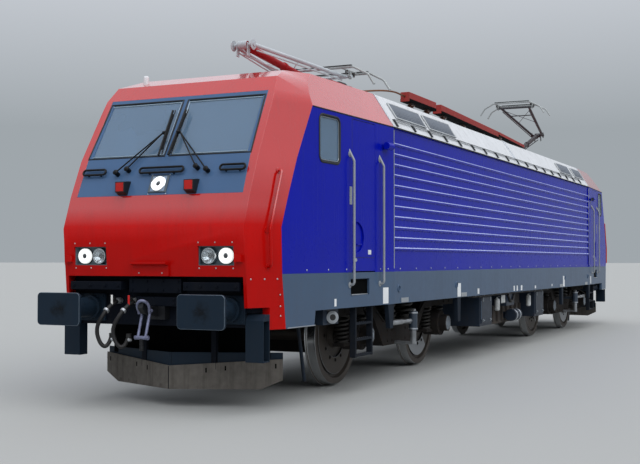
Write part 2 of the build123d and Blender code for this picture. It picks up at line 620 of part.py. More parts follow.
def wiper():
    left = panel_plane(LOOP_HEIGHT - 21, 575.0)
    right = panel_plane(LOOP_HEIGHT + 14, 440.0)
    blade_low = (at_level(GLASS_BOTTOM)[0] + 70.0, 62.0, GLASS_BOTTOM + 5.0)
    blade_high = (at_level(SIDE_TOP)[0] + 87.0, 85.0, SIDE_TOP - 40.0)
    hub_x = (blade_low[0] + blade_high[0]) / 2
    hub = (hub_x, 110.0, (blade_low[2] + blade_high[2]) / 2)
    piece = rod(blade_low, blade_high, 12.0)
    for plane in (left, right):
        pivot = plane.offset(-25.0) * Cylinder(26.0, 92.0, align=(Align.CENTER, Align.CENTER, Align.MIN))
        piece += pivot
        top = plane.offset(55.0).origin
        piece += rod((top.X, top.Y, top.Z - FLANGE_DEPTH), hub, 8.0)
    piece += rod(hub, (hub_x, 70.0, hub[2]), 20.0)
    return piece - cab_outer


export("wipers", both_ends(both_sides(wiper())))


# Underframe: floor, sills and king pins

floor_slab = block((-PANEL_HALF_LENGTH, PANEL_HALF_LENGTH), (-BODY_HALF_WIDTH + WALL, BODY_HALF_WIDTH - WALL),
                   (SILL_TOP - FLOOR_THICKNESS, SILL_TOP))
cab_floor = cab_inner & block(rear_span, (-FAR_Y, FAR_Y), (SILL_TOP - FLOOR_THICKNESS, SILL_TOP))
underframe = floor_slab
for piece in both_ends([cab_floor]):
    underframe += piece
export("underframe", [underframe])
king_pin = upright(BOGIE_CENTRE, 0, KINGPIN_RADIUS, KINGPIN_BOTTOM, SILL_TOP - FLOOR_THICKNESS)
export("king_pins", both_ends([king_pin]))

sill_middle = block((-PANEL_HALF_LENGTH, PANEL_HALF_LENGTH), (BODY_HALF_WIDTH - WALL, BODY_HALF_WIDTH),
                    (SILL_BOTTOM, SILL_TOP))
sill_cab = rear_shell & block(rear_span, (0.0, FAR_Y), (SKIRT_BOTTOM, SILL_TOP))
sill_cab -= block((PANEL_HALF_LENGTH - 10, SKIRT_REAR), (0.0, FAR_Y), (BELOW, SILL_BOTTOM))
sill_cab -= on_side(block(STEP_HOLE_X, (-30.0, 60.0), STEP_HOLE_Z))
sill_side = sill_middle
for top0, top1, foot0, foot1, foot_z in SILL_LEGS:
    sill_leg = side_prism([(top0, SILL_BOTTOM), (top1, SILL_BOTTOM), (foot1, foot_z), (foot0, foot_z)],
                          BODY_HALF_WIDTH - WALL, BODY_HALF_WIDTH - 12.0)
    for leg in (sill_leg, mirror(turned(sill_leg), Plane.XZ)):
        sill_side += leg
export("sills", both_sides(sill_side))
export("cab_skirts", both_ends(both_sides(sill_cab)))

sand_y = SAND_BOX_Y[1]
sand_box = block(SAND_BOX_X, SAND_BOX_Y, (SAND_BOX_BOTTOM, SILL_TOP - FLOOR_THICKNESS))
sand_cap = (SAND_BOX_X[0] + 200.0, sand_y - 20.0, SILL_BOTTOM - 101.0)
sand_box += rod(sand_cap, (sand_cap[0] + 55, sand_cap[1] + 55, sand_cap[2]), 62.0)
cap_start = (sand_cap[0] + 55, sand_cap[1] + 55, sand_cap[2])
sand_box += rod(cap_start, (cap_start[0] + 15, cap_start[1] + 15, cap_start[2]), 76.0)
sand_pipe_y = WHEEL_FACE - RIM_WIDTH / 2
sand_box += block((SAND_BOX_X[0], SAND_BOX_X[0] + 60), (sand_pipe_y - 30, SAND_BOX_Y[0] + 40),
                  (SAND_BOX_BOTTOM, SAND_BOX_BOTTOM + 60))
pipe_top = (SAND_BOX_X[0] + 30, sand_pipe_y, SAND_BOX_BOTTOM + 30)
sand_box += rod(pipe_top, (SAND_BOX_X[0] - 160, sand_pipe_y, 110.0), 22.0)
export("sand_boxes", both_ends(both_sides(sand_box)))


# Buffer beams, buffers and couplings

beam = cab_inner & block((BEAM_REAR, BEAM_FRONT), (-FAR_Y, FAR_Y), (BEAM_BOTTOM, NOSE_BOTTOM - 3))
beam_corner = block((BEAM_REAR - 10, BEAM_FRONT + 10), (BEAM_NARROW_HALF, FAR_Y), (BELOW, BEAM_NARROW_TOP))
for corner in both_sides(beam_corner):
    beam -= corner
for plate in both_sides(block((BEAM_FRONT, BEAM_FRONT + 180), (390.0, BEAM_NARROW_HALF + 10),
                              (BUFFER_HEIGHT + 195, BUFFER_HEIGHT + 285))):
    beam += plate
beam += block((BEAM_FRONT, BEAM_FRONT + 120), (-330.0, 330.0), (BUFFER_HEIGHT + 165, BUFFER_HEIGHT + 321))
beam += block((BEAM_FRONT, BEAM_FRONT + 90), (-255.0, 255.0), (BUFFER_HEIGHT + 25, BUFFER_HEIGHT + 125))
export("buffer_beams", both_ends([beam]))

buffer_y = BUFFER_SPACING / 2
plate_outline = RectangleRounded(BUFFER_PLATE_WIDTH, BUFFER_PLATE_HEIGHT, BUFFER_PLATE_CORNER)
plate_plane = Plane(origin=(BUFFER_FACE - BUFFER_PLATE_THICKNESS, buffer_y, up(BUFFER_HEIGHT)),
                    x_dir=(0, 1, 0), z_dir=(1, 0, 0))
buffer = extrude(plate_plane * plate_outline, amount=BUFFER_PLATE_THICKNESS)
# Stages of the buffer case: start and end before the beam, radius
buffer_stages = [(390.0, 590.0, 82.0), (30.0, 410.0, 108.0), (330.0, 410.0, 122.0), (30.0, 90.0, 130.0)]
for start, end, radius in buffer_stages:
    start_point = (BEAM_FRONT + start, buffer_y, BUFFER_HEIGHT)
    buffer += rod(start_point, (BEAM_FRONT + end, buffer_y, BUFFER_HEIGHT), radius)
buffer_plate_y = (buffer_y - 170, buffer_y + 170)
buffer += block((BEAM_FRONT, BEAM_FRONT + 30), buffer_plate_y, (BUFFER_HEIGHT - 150, BUFFER_HEIGHT + 150))
export("buffers", both_ends(both_sides(buffer)))

# Hook outline: X before the beam, height over the buffer centre
HOOK_OUTLINE = [(90, -85), (230, -60), (330, -45), (390, 15), (370, 75), (330, 80), (320, 30), (270, 15),
                (230, 23), (90, 23)]
hook = side_prism([(BEAM_FRONT + x, BUFFER_HEIGHT + z) for x, z in HOOK_OUTLINE], -30.0, 30.0)
hook += block((BEAM_FRONT, BEAM_FRONT + 92), (-110.0, 110.0), (BUFFER_HEIGHT - 115, BUFFER_HEIGHT + 23))
link_pin = (BEAM_FRONT + 270.0, BUFFER_HEIGHT - 15.0)
trunnion = (BEAM_FRONT + 355.0, BUFFER_HEIGHT - 293.0)
hook += across(*link_pin, 16.0, -70.0, 70.0)
hook += across(*trunnion, 20.0, -75.0, 75.0)
for side in (-1, 1):
    hook += rod((link_pin[0], side * 47, link_pin[1]), (trunnion[0], side * 47, trunnion[1]), 15.0)
hook += rod((trunnion[0], 0, trunnion[1]), (trunnion[0], 0, trunnion[1] - 132), 17.0)
export("draw_hooks", both_ends([hook]))

# Brake hoses on the right of the hook: the Y of the cock, the Y of the hanging loop
hoses = []
for cock_y, loop_y in ((-300.0, -430.0), (-520.0, -640.0)):
    half_y = (cock_y + loop_y) / 2
    # Route of the hose: X before the beam, Y, height over the buffer centre
    route = [(0, cock_y, 75), (160, cock_y - 8, 30), (250, half_y, -85), (260, loop_y, -265),
             (230, half_y, -405), (160, cock_y, -285)]
    line = Spline([Vector(BEAM_FRONT + x, y, up(BUFFER_HEIGHT + z)) for x, y, z in route])
    hose = sweep(Plane(origin=line @ 0, z_dir=line % 0) * Circle(22.0), path=line)
    hose -= block((BEAM_REAR, BEAM_FRONT), (-BEAM_NARROW_HALF, 0.0), (BEAM_BOTTOM, NOSE_BOTTOM))
    coupling_x = BEAM_FRONT + 160
    hose += rod((coupling_x, cock_y, BUFFER_HEIGHT - 270), (coupling_x, cock_y, BUFFER_HEIGHT - 355), 30.0)
    hose += block((BEAM_FRONT + 110, BEAM_FRONT + 140), (cock_y - 16, cock_y + 16),
                  (BUFFER_HEIGHT + 45, BUFFER_HEIGHT + 120))
    hoses.append(hose)
export("brake_hoses", both_ends(hoses))


# Snowploughs and corner steps

plough_outline = [(0.0, 419.0), (1150.0, 495.0), (1150.0, 270.0), (930.0, 170.0), (0.0, 167.0)]


def plough_wing(thickness):
    root = Vector(BEAM_FRONT - 150, 0, 0)
    tip = Vector(BEAM_FRONT - 610, 1150.0, 0)
    normal = Vector(tip.Y - root.Y, root.X - tip.X, 0).normalized()
    wing = [root, tip, tip - normal * thickness, root - Vector(thickness * 1.1, 0, 0)]
    upright_wall = plan_prism([(p.X, p.Y) for p in wing], 0.0, 600.0)
    return upright_wall & cross_prism(plough_outline, BEAM_FRONT - 870, BEAM_FRONT - 70)


wing = plough_wing(22.0)
plough = wing + mirror(wing, Plane.XZ)
bracket_top = SILL_TOP - FLOOR_THICKNESS
for bracket in both_sides(block((BEAM_FRONT - 390, BEAM_FRONT - 340), (420.0, 480.0), (380.0, bracket_top))):
    plough += bracket
export("snowploughs", both_ends([plough]))

ladder = None
for x in LADDER_X:
    stile = block((x - 18, x + 18), LADDER_Y, (LADDER_BOTTOM, SILL_BOTTOM))
    ladder = stile if ladder is None else ladder + stile
for z in LADDER_TREADS:
    ladder += block(LADDER_X, LADDER_Y, (z - 14, z + 14))
export("door_ladders", both_ends(both_sides(ladder)))

step_rear, step_front = BEAM_FRONT - 110, BEAM_FRONT + 30
step_top = BEAM_NARROW_TOP - 10
step_outline = [(step_rear, 510.0), (step_front, 510.0), (step_front, step_top - 60),
                (step_front - 50, step_top), (step_rear, step_top)]
step_box = side_prism(step_outline, BEAM_NARROW_HALF, BEAM_NARROW_HALF + 210)
step_box -= block((step_rear + 10, step_front - 10), (BEAM_NARROW_HALF + 12, FAR_Y), (522.0, step_top - 70))
export("corner_steps", both_ends(both_sides(step_box)))


# Bogies

def bogie_block(x, y, z):
    return block((x[0] + BOGIE_CENTRE, x[1] + BOGIE_CENTRE), y, z)


def beam_points():
    half, drop, slope = SIDE_BEAM_HALF_LENGTH, SIDE_BEAM_DROP_HALF, SIDE_BEAM_DROP_SLOPE
    right = [(drop, SIDE_BEAM_MIDDLE_TOP), (drop + slope, SIDE_BEAM_TOP), (half, SIDE_BEAM_TOP),
             (half, SIDE_BEAM_END_BOTTOM), (drop + slope + 60, SIDE_BEAM_END_BOTTOM),
             (drop - 30, SIDE_BEAM_MIDDLE_BOTTOM)]
    outline = right + [(-x, z) for x, z in reversed(right)]
    return [(x + BOGIE_CENTRE, z) for x, z in outline]


side_beam = side_prism(beam_points(), SIDE_BEAM_Y - SIDE_BEAM_WIDTH / 2, SIDE_BEAM_Y + SIDE_BEAM_WIDTH / 2)
bogie_frame = side_beam + mirror(side_beam, Plane.XZ)
bogie_frame += bogie_block((-TRANSOM_HALF_LENGTH, TRANSOM_HALF_LENGTH), (-SIDE_BEAM_Y, SIDE_BEAM_Y),
                           (TRANSOM_BOTTOM, SIDE_BEAM_MIDDLE_TOP))
for side in (-1, 1):
    ends = sorted((side * SIDE_BEAM_HALF_LENGTH, side * (SIDE_BEAM_HALF_LENGTH - END_BEAM_LENGTH)))
    bogie_frame += bogie_block(ends, (-SIDE_BEAM_Y, SIDE_BEAM_Y), (SIDE_BEAM_END_BOTTOM, SIDE_BEAM_TOP))
bogie_frame -= upright(BOGIE_CENTRE, 0, KINGPIN_RADIUS + RUNNING_CLEARANCE, 300.0, 900.0)
export("bogie_frame_1", [bogie_frame])
export("bogie_frame_2", [turned(bogie_frame)])

boxes = []
springs = []
for side in (-1, 1):
    axle_x = BOGIE_CENTRE + side * WHEELBASE / 2
    box_y = (SIDE_BEAM_Y - 90.0, BOX_FACE - BOX_COVER_REACH)
    box = across(axle_x, TREAD_RADIUS, BOX_RADIUS, box_y[0], box_y[1])
    box += across(axle_x, TREAD_RADIUS, BOX_COVER_RADIUS, box_y[1], BOX_FACE)
    box += block((axle_x - SPRING_OFFSET - 100, axle_x + SPRING_OFFSET + 100),
                 (SIDE_BEAM_Y - 75, SIDE_BEAM_Y + 75), (PRIMARY_SEAT - SEAT_THICKNESS, PRIMARY_SEAT))
    box -= across(axle_x, TREAD_RADIUS, JOURNAL_RADIUS + RUNNING_CLEARANCE, box_y[0] - 5, JOURNAL_END + 5)
    boxes += both_sides(box)
    for offset in (-SPRING_OFFSET, SPRING_OFFSET):
        spring = upright(axle_x + offset, SIDE_BEAM_Y, PRIMARY_SPRING_RADIUS - 25, PRIMARY_SEAT,
                         SIDE_BEAM_END_BOTTOM)
        springs += both_sides(spring)
for offset in (-SECONDARY_SPRING_OFFSET, SECONDARY_SPRING_OFFSET):
    spring = upright(BOGIE_CENTRE + offset, SIDE_BEAM_Y, SECONDARY_SPRING_RADIUS - 25, SIDE_BEAM_MIDDLE_TOP,
                     SILL_TOP - FLOOR_THICKNESS - SPRING_TOP_GAP)
    springs += both_sides(spring)
export("axleboxes_1", boxes)
export("axleboxes_2", [turned(piece) for piece in boxes])
export("bogie_springs_1", springs)
export("bogie_springs_2", [turned(piece) for piece in springs])



def damper(start, end, radius):
    """Hydraulic damper between two eyes: a wide dust tube first, then the thinner cylinder."""
    a, b = Vector(*start), Vector(*end)
    middle = a + (b - a) * 0.58
    piece = rod(tuple(a), tuple(middle), radius)
    piece += rod(tuple(middle), tuple(b), radius * 0.72)
    return piece


# The upright damper stands on a bracket of the side beam, and the yaw damper starts on another.
damper_x = BOGIE_CENTRE + SIDE_BEAM_DROP_HALF - 465.0
damper_foot = SIDE_BEAM_MIDDLE_BOTTOM + 10.0
yaw_x = damper_x + 95.0
yaw_z = SIDE_BEAM_MIDDLE_TOP - 8.0
damper_top = (damper_x, DAMPER_Y, damper_foot + 440)
bogie_dampers = damper(damper_top, (damper_x, DAMPER_Y, damper_foot), DAMPER_TUBE_RADIUS)
foot_span = (SIDE_BEAM_FACE, DAMPER_Y + 35)
bogie_dampers += block((damper_x - 35, damper_x + 35), foot_span, (damper_foot - 6, damper_foot + 34))
bogie_dampers += block((yaw_x - 28, yaw_x + 28), (SIDE_BEAM_FACE, DAMPER_Y), (yaw_z - 45, yaw_z + 8))
bogie_dampers += damper((yaw_x + 800, DAMPER_Y, yaw_z), (yaw_x, DAMPER_Y, yaw_z - 4), YAW_DAMPER_RADIUS)
export("bogie_dampers_1", both_sides(bogie_dampers))
export("bogie_dampers_2", [turned(piece) for piece in both_sides(bogie_dampers)])

motors = []
motor_half = BACK_TO_BACK / 2 - 160.0
for side in (-1, 1):
    near = TRANSOM_HALF_LENGTH
    far = WHEELBASE / 2 - AXLE_RADIUS - 75
    motors.append(bogie_block(sorted((side * near, side * far)), (-motor_half, motor_half),
                              (TREAD_RADIUS - 265, TREAD_RADIUS + 315)))
export("traction_motors_1", motors)
export("traction_motors_2", [turned(piece) for piece in motors])


# Wheelsets

def wheel_profile():
    """Half section of one wheel as (Y, radius), from the inner face outwards."""
    back = BACK_TO_BACK / 2
    face = back + RIM_WIDTH
    flange_top = TREAD_RADIUS + FLANGE_DEPTH
    rim_inner = TREAD_RADIUS - RIM_THICKNESS
    web = (back + face) / 2
    hub = (web - HUB_LENGTH / 2, web + HUB_LENGTH / 2)
    return [(hub[0], 0.0), (hub[0], HUB_RADIUS), (web - WEB_THICKNESS / 2, HUB_RADIUS + 25),
            (web - WEB_THICKNESS / 2, rim_inner - 15), (back, rim_inner), (back, flange_top - 10),
            (back + 12, flange_top), (back + 20, flange_top), (back + FLANGE_WIDTH, TREAD_RADIUS + 4),
            (face, TREAD_RADIUS - 3), (face, rim_inner), (web + WEB_THICKNESS / 2, rim_inner - 15),
            (web + WEB_THICKNESS / 2, HUB_RADIUS + 25), (hub[1], HUB_RADIUS), (hub[1], 0.0)]


def turned_piece(points):
    """Solid of revolution about the Y axis from (Y, radius)."""
    face = make_face(Polyline([Vector(radius, y, 0) for y, radius in points], close=True))
    return revolve(face, axis=Axis.Y)


wheel = turned_piece(wheel_profile())
axle_shoulder = WHEEL_FACE + 30.0
axle = turned_piece([(-JOURNAL_END, 0), (-JOURNAL_END, JOURNAL_RADIUS), (-axle_shoulder, JOURNAL_RADIUS),
                     (-axle_shoulder, AXLE_RADIUS), (axle_shoulder, AXLE_RADIUS), (axle_shoulder, JOURNAL_RADIUS),
                     (JOURNAL_END, JOURNAL_RADIUS), (JOURNAL_END, 0)])
wheel_middle = (BACK_TO_BACK + RIM_WIDTH) / 2
disc_faces = [(wheel_middle + WEB_THICKNESS / 2, 1), (wheel_middle - WEB_THICKNESS / 2, -1)]
discs = []
for face_y, sign in disc_faces:
    inner, outer = sorted((face_y, face_y + sign * DISC_THICKNESS))
    disc = turned_piece([(inner, DISC_INNER_RADIUS), (inner, DISC_OUTER_RADIUS),
                         (outer, DISC_OUTER_RADIUS), (outer, DISC_INNER_RADIUS)])
    discs += both_sides(disc)
wheelset = wheel + mirror(wheel, Plane.XZ) + axle
for disc in discs:
    wheelset += disc
for number, axle_x in enumerate((BOGIE_CENTRE + WHEELBASE / 2, BOGIE_CENTRE - WHEELBASE / 2,
                                 -BOGIE_CENTRE + WHEELBASE / 2, -BOGIE_CENTRE - WHEELBASE / 2), start=1):
    place = Pos(axle_x, 0, up(TREAD_RADIUS))
    export(f"wheelset_{number}", [place * wheelset])


# Transformer and underfloor cases

transformer_y = BODY_HALF_WIDTH - 355.0
transformer_x = BOGIE_CENTRE - SIDE_BEAM_HALF_LENGTH - 1330.0
transformer = block((-transformer_x, transformer_x), (-transformer_y, transformer_y),
                    (440.0, SILL_TOP - FLOOR_THICKNESS))
for n in range(-4, 5):
    x = n * (transformer_x - 100) / 4
    transformer += block((x - 12, x + 12), (-transformer_y - 45, transformer_y + 45), (480.0, 760.0))
export("transformer", [transformer])
cases = []
for x in ((transformer_x + 120, transformer_x + 790), (-transformer_x - 840, -transformer_x - 150)):
    case = block(x, (640.0, BODY_HALF_WIDTH - 105), (495.0, SILL_TOP - FLOOR_THICKNESS))
    case_door = (BODY_HALF_WIDTH - 105, BODY_HALF_WIDTH - 87)
    case += block((x[0] + 45, x[1] - 45), case_door, (540.0, SILL_BOTTOM - 45))
    cases += both_sides(case)

tank, *boxes_beside = SIDE_FITTINGS
tank_y = BODY_HALF_WIDTH - 185
tank_z = (tank[2] + tank[3]) / 2
tank_piece = rod((tank[0], tank_y, tank_z), (tank[1], tank_y, tank_z), (tank[3] - tank[2]) / 2 - 17)
for x in (tank[0] + 60, tank[1] - 60):
    tank_piece += block((x - 10, x + 10), (transformer_y, tank_y), (tank_z - 60, tank_z + 60))
cases += both_sides(tank_piece)
for x0, x1, z0, z1 in boxes_beside:
    cases += both_sides(block((x0, x1), (transformer_y, BODY_HALF_WIDTH - 90), (z0, z1)))
export("underfloor_cases", cases)


# Roof fittings: conductor boxes, their posts, air intake panels, the lugs with their rail, and aerials

ducts = []
for x0, x1, rise0, rise1, depth in DUCTS:
    top0, top1 = ROOF_TOP + rise0, ROOF_TOP + rise1
    ducts.append(side_prism([(x0, top0), (x1, top1), (x1, top1 - depth), (x0, top0 - depth)],
                            DUCT_Y - DUCT_HALF_WIDTH, DUCT_Y + DUCT_HALF_WIDTH))
export("roof_ducts", ducts)


def duct_post(x):
    for x0, x1, rise0, rise1, depth in DUCTS:
        if x0 <= x <= x1:
            under = ROOF_TOP + rise0 + (x - x0) / (x1 - x0) * (rise1 - rise0) - depth
            return upright(x, DUCT_Y, 55.0, ROOF_TOP, under + 20.0) - ducts[0] - ducts[1] - ducts[2]


duct_posts = [duct_post(x) for x in DUCT_POSTS]

roof_solid = cross_prism(roof_outline(0), -PANEL_HALF_LENGTH, PANEL_HALF_LENGTH)
slope_skin = cross_prism(roof_outline(-14.0), -PANEL_HALF_LENGTH, PANEL_HALF_LENGTH) - roof_solid
lug_skin = cross_prism(roof_outline(-30.0), -PANEL_HALF_LENGTH, PANEL_HALF_LENGTH) - roof_solid
slope_y = (BODY_HALF_WIDTH - 475.0, FAR_Y)
slope_panels = [slope_skin & block(x, slope_y, SLOPE_PANEL_Z) for x in SLOPE_PANELS]
lug_z = (SIDE_TOP + LUG_HEIGHT[0], SIDE_TOP + LUG_HEIGHT[1])
lug_rail = (lug_skin - slope_skin) & block((LUG_X[-1], LUG_X[0]), slope_y, (lug_z[1] - 14, lug_z[1]))
for x in LUG_X:
    lug_rail += lug_skin & block((x - LUG_HALF_WIDTH, x + LUG_HALF_WIDTH), slope_y, lug_z)
export("roof_grilles", both_ends(slope_panels + [lug_rail]))

aerial = upright(AERIAL_X, AERIAL_Y, AERIAL_RADIUS, ROOF_TOP - 200, ROOF_TOP + AERIAL_RISE)
aerial = fillet(aerial.edges().sort_by(Axis.Z)[-1], AERIAL_RADIUS * 0.7)
export("roof_aerials", both_ends([aerial - cab_outer]))


# Pantographs

insulators = []


def pantograph(lower_angle, half_width, frame_half):
    """Half-scissor pantograph over end 1: base, lower arm, upper arm and head."""
    upper_angle = FOLDED_UPPER + (lower_angle - FOLDED_LOWER) * ARM_RATIO
    lower_rad, upper_rad = math.radians(lower_angle), math.radians(upper_angle)
    knee_x = MAST_X + LOWER_ARM * math.cos(lower_rad)
    knee_z = MAST_HEIGHT + LOWER_ARM * math.sin(lower_rad)
    head_x = knee_x - UPPER_ARM * math.cos(upper_rad)
    head_z = knee_z + UPPER_ARM * math.sin(upper_rad)
    base = block((MAST_X - 60, MAST_X + 60), (-520.0, 520.0), (MAST_HEIGHT - 130, MAST_HEIGHT - 60))
    for y in (-500.0, 500.0):
        base += rod((MAST_X - 420, y, MAST_HEIGHT - 95), (MAST_X + 620, y, MAST_HEIGHT - 95), 35.0)
    base += block((MAST_X + 560, MAST_X + 620), (-500.0, 500.0), (MAST_HEIGHT - 125, MAST_HEIGHT - 65))
    for y in (-150.0, 150.0):
        ear = block((MAST_X - 50, MAST_X + 50), (y - 15, y + 15), (MAST_HEIGHT - 130, MAST_HEIGHT + 50))
        base += ear
    base -= across(MAST_X, MAST_HEIGHT, 25.0 + RUNNING_CLEARANCE, -200.0, 200.0)
    lower = rod((MAST_X, 0, MAST_HEIGHT), (knee_x, 0, knee_z), 48.0)
    lower += across(MAST_X, MAST_HEIGHT, 60.0, -120.0, 120.0)
    lower += across(MAST_X, MAST_HEIGHT, 25.0, -166.0, 166.0)
    lower += across(knee_x, knee_z, 45.0, -60.0, 60.0)
    lower -= across(knee_x, knee_z, 22.0 + RUNNING_CLEARANCE, -200.0, 200.0)
    upper = across(knee_x, knee_z, 22.0, -KNEE_HALF_WIDTH, KNEE_HALF_WIDTH)
    for side in (-1, 1):
        upper += rod((knee_x, side * KNEE_HALF_WIDTH, knee_z), (head_x, side * frame_half, head_z), 27.0)
    upper += across(head_x, head_z, 22.0, -frame_half - 30, frame_half + 30)
    strip_z = head_z + 75.0
    head = None
    for offset in (-STRIP_SPACING / 2, STRIP_SPACING / 2):
        x = head_x + offset
        bow = bent_rod([(x, -half_width, strip_z - 250), (x, -half_width + 90, strip_z - 110),
                        (x, -half_width + 300, strip_z), (x, half_width - 300, strip_z),
                        (x, half_width - 90, strip_z - 110), (x, half_width, strip_z - 250)], 16.0, 90.0)
        head = bow if head is None else head + bow
        head += block((x - 20, x + 20), (-half_width + 330, half_width - 330), (strip_z, strip_z + 34))
    for side in (-1, 1):
        y = side * (frame_half + 75)
        head += rod((head_x - STRIP_SPACING / 2, y, strip_z), (head_x + STRIP_SPACING / 2, y, strip_z), 14.0)
        head += block((head_x - 25, head_x + 25), (y - 12, y + 12), (head_z - 35, strip_z))
        head -= across(head_x, head_z, 22.0 + RUNNING_CLEARANCE, y - 50, y + 50)
        pin_end = across(head_x, head_z, 22.0, *sorted((side * frame_half, y + side * 30)))
        upper += pin_end
    return base, lower, upper, head


for x, y in ((MAST_X - 380, 500.0), (MAST_X - 380, -500.0), (MAST_X + 590, 0.0)):
    insulators.append(upright(x, y, 60.0, ROOF_TOP, MAST_HEIGHT - 130))
export("roof_insulators", both_ends(insulators) + duct_posts)

# Each row: end, lower arm angle, half width of the head, half width of the upper frame
bases = []
for end, angle, half_width, frame_half in (("1", 4.9, 975.0, 420.0), ("2", 17.2, 725.0, 320.0)):
    pieces = pantograph(angle, half_width, frame_half)
    if end == "2":
        pieces = [turned(piece) for piece in pieces]
    bases.append(pieces[0])
    for name, piece in zip(("lower_arm", "upper_arm", "head"), pieces[1:]):
        export(f"pantograph_{end}_{name}", [piece])
export("pantograph_bases", bases)
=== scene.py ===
import math

import bpy
from mathutils import Matrix, Vector
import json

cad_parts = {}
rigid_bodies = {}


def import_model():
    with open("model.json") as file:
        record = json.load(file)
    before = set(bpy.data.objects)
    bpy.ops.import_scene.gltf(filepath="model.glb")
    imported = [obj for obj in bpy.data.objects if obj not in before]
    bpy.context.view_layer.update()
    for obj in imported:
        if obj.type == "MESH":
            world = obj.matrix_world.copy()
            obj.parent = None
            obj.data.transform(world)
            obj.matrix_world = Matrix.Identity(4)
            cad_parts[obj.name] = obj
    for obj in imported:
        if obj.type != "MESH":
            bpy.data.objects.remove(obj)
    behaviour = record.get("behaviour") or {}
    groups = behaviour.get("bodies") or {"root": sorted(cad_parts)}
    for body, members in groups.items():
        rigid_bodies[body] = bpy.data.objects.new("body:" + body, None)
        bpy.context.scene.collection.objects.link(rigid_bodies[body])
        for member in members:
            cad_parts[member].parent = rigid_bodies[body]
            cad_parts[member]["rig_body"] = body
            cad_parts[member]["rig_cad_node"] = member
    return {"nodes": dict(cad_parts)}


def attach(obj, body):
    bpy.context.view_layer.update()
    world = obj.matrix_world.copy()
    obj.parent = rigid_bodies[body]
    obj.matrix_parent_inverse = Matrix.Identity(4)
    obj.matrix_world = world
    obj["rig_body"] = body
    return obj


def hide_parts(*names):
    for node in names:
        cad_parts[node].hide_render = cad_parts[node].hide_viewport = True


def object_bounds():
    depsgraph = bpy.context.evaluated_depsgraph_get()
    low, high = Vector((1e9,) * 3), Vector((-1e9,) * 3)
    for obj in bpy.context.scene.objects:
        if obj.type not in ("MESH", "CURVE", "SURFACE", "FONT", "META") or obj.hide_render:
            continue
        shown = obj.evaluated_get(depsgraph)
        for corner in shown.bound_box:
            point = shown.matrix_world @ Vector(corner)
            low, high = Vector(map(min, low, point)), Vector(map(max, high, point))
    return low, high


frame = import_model()
cad_low, cad_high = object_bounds()
flange_depth = 0.028
rail_top = cad_low.z + flange_depth

# Camera
# It stands where the photograph was taken from, at eye height above the rails and ahead of the
# left front corner, with the lens that gives the photograph's angle on a 36 mm sensor.
camera_place = Vector((18.833, 6.467, 1.550 + rail_top))
camera_turn = math.radians(25.379)
camera_lift = math.radians(1.543)
sight = Vector((-math.cos(camera_turn) * math.cos(camera_lift),
                -math.sin(camera_turn) * math.cos(camera_lift), math.sin(camera_lift)))
bpy.ops.object.camera_add(location=camera_place, rotation=sight.to_track_quat("-Z", "Y").to_euler())
camera = bpy.context.object
camera.data.lens = 60.39
camera.data.sensor_width = 36.0
camera.data.clip_end = 4000.0
bpy.context.scene.camera = camera
bpy.context.scene.view_settings.view_transform = "Standard"


# Floor and light
# A plain floor on the level of the flange tips, and an overcast sky: bright overhead and greyer
# towards the horizon. One broad soft lamp stands for the brightest cloud.
def linear(code):
    """Linear colour of an sRGB hex value."""
    parts = [int(code[n:n + 2], 16) / 255 for n in (1, 3, 5)]
    return tuple(p / 12.92 if p <= 0.04045 else ((p + 0.055) / 1.055) ** 2.4 for p in parts) + (1.0,)


def feed(tree, node, inputs):
    """Sets a shader node's inputs. An input is a value, or another node's output to link."""
    for socket, value in inputs.items():
        if isinstance(value, bpy.types.NodeSocket):
            tree.links.new(value, node.inputs[socket])
        else:
            node.inputs[socket].default_value = value


def add(tree, kind, inputs=None, **settings):
    """Adds a shader node with its settings and inputs."""
    made = tree.nodes.new("ShaderNode" + kind)
    for name, value in settings.items():
        setattr(made, name, value)
    feed(tree, made, inputs or {})
    return made


def tune(material, inputs):
    """Sets inputs of a material's own shader."""
    feed(material.node_tree, material.node_tree.nodes["Principled BSDF"], inputs)


floor_size = 1600.0
floor_colour = "#A2A4A2"
horizon_colour = "#9FA6AB"
overhead_colour = "#F3F6FF"
sky_fill = 0.85
lamp_strength = 2.1
lamp_angle = 80
bpy.ops.mesh.primitive_plane_add(size=floor_size, location=(0, 0, cad_low.z))
floor = bpy.context.object
floor.name = "floor"
floor_paint = bpy.data.materials.new("matt floor paint")
floor_paint.use_nodes = True
tune(floor_paint, {"Base Color": linear(floor_colour), "Roughness": 0.9})
floor.data.materials.append(floor_paint)

sky = bpy.data.worlds.new("overcast sky")
bpy.context.scene.world = sky
sky.use_nodes = True
sky_tree = sky.node_tree
rays = add(sky_tree, "LightPath").outputs
seen = add(sky_tree, "Math", {0: rays["Is Camera Ray"], 1: rays["Is Glossy Ray"]}, operation="MAXIMUM")
seen = add(sky_tree, "Math", {0: seen.outputs[0], 1: rays["Is Transmission Ray"]}, operation="MAXIMUM")
sky_level = add(sky_tree, "MapRange", {"Value": seen.outputs[0], "To Min": sky_fill, "To Max": 1.0})
rise = add(sky_tree, "SeparateXYZ", {"Vector": add(sky_tree, "TexCoord").outputs["Generated"]})
blend = add(sky_tree, "MapRange", {"Value": rise.outputs["Z"], "From Min": 0.12, "From Max": 0.45})
cloud_cover = add(sky_tree, "Mix", {0: blend.outputs[0], 6: linear(horizon_colour),
                                    7: linear(overhead_colour)}, data_type="RGBA")
backdrop = {"Color": cloud_cover.outputs[2], "Strength": sky_level.outputs[0]}
feed(sky_tree, sky_tree.nodes["Background"], backdrop)

bpy.ops.object.light_add(type="SUN", location=(10, 20, 30))
lamp = bpy.context.object
lamp.name = "soft_lamp"
lamp.rotation_euler = Vector((-0.40, -0.50, -0.95)).to_track_quat("-Z", "Y").to_euler()
lamp.data.energy = lamp_strength
lamp.data.angle = math.radians(lamp_angle)


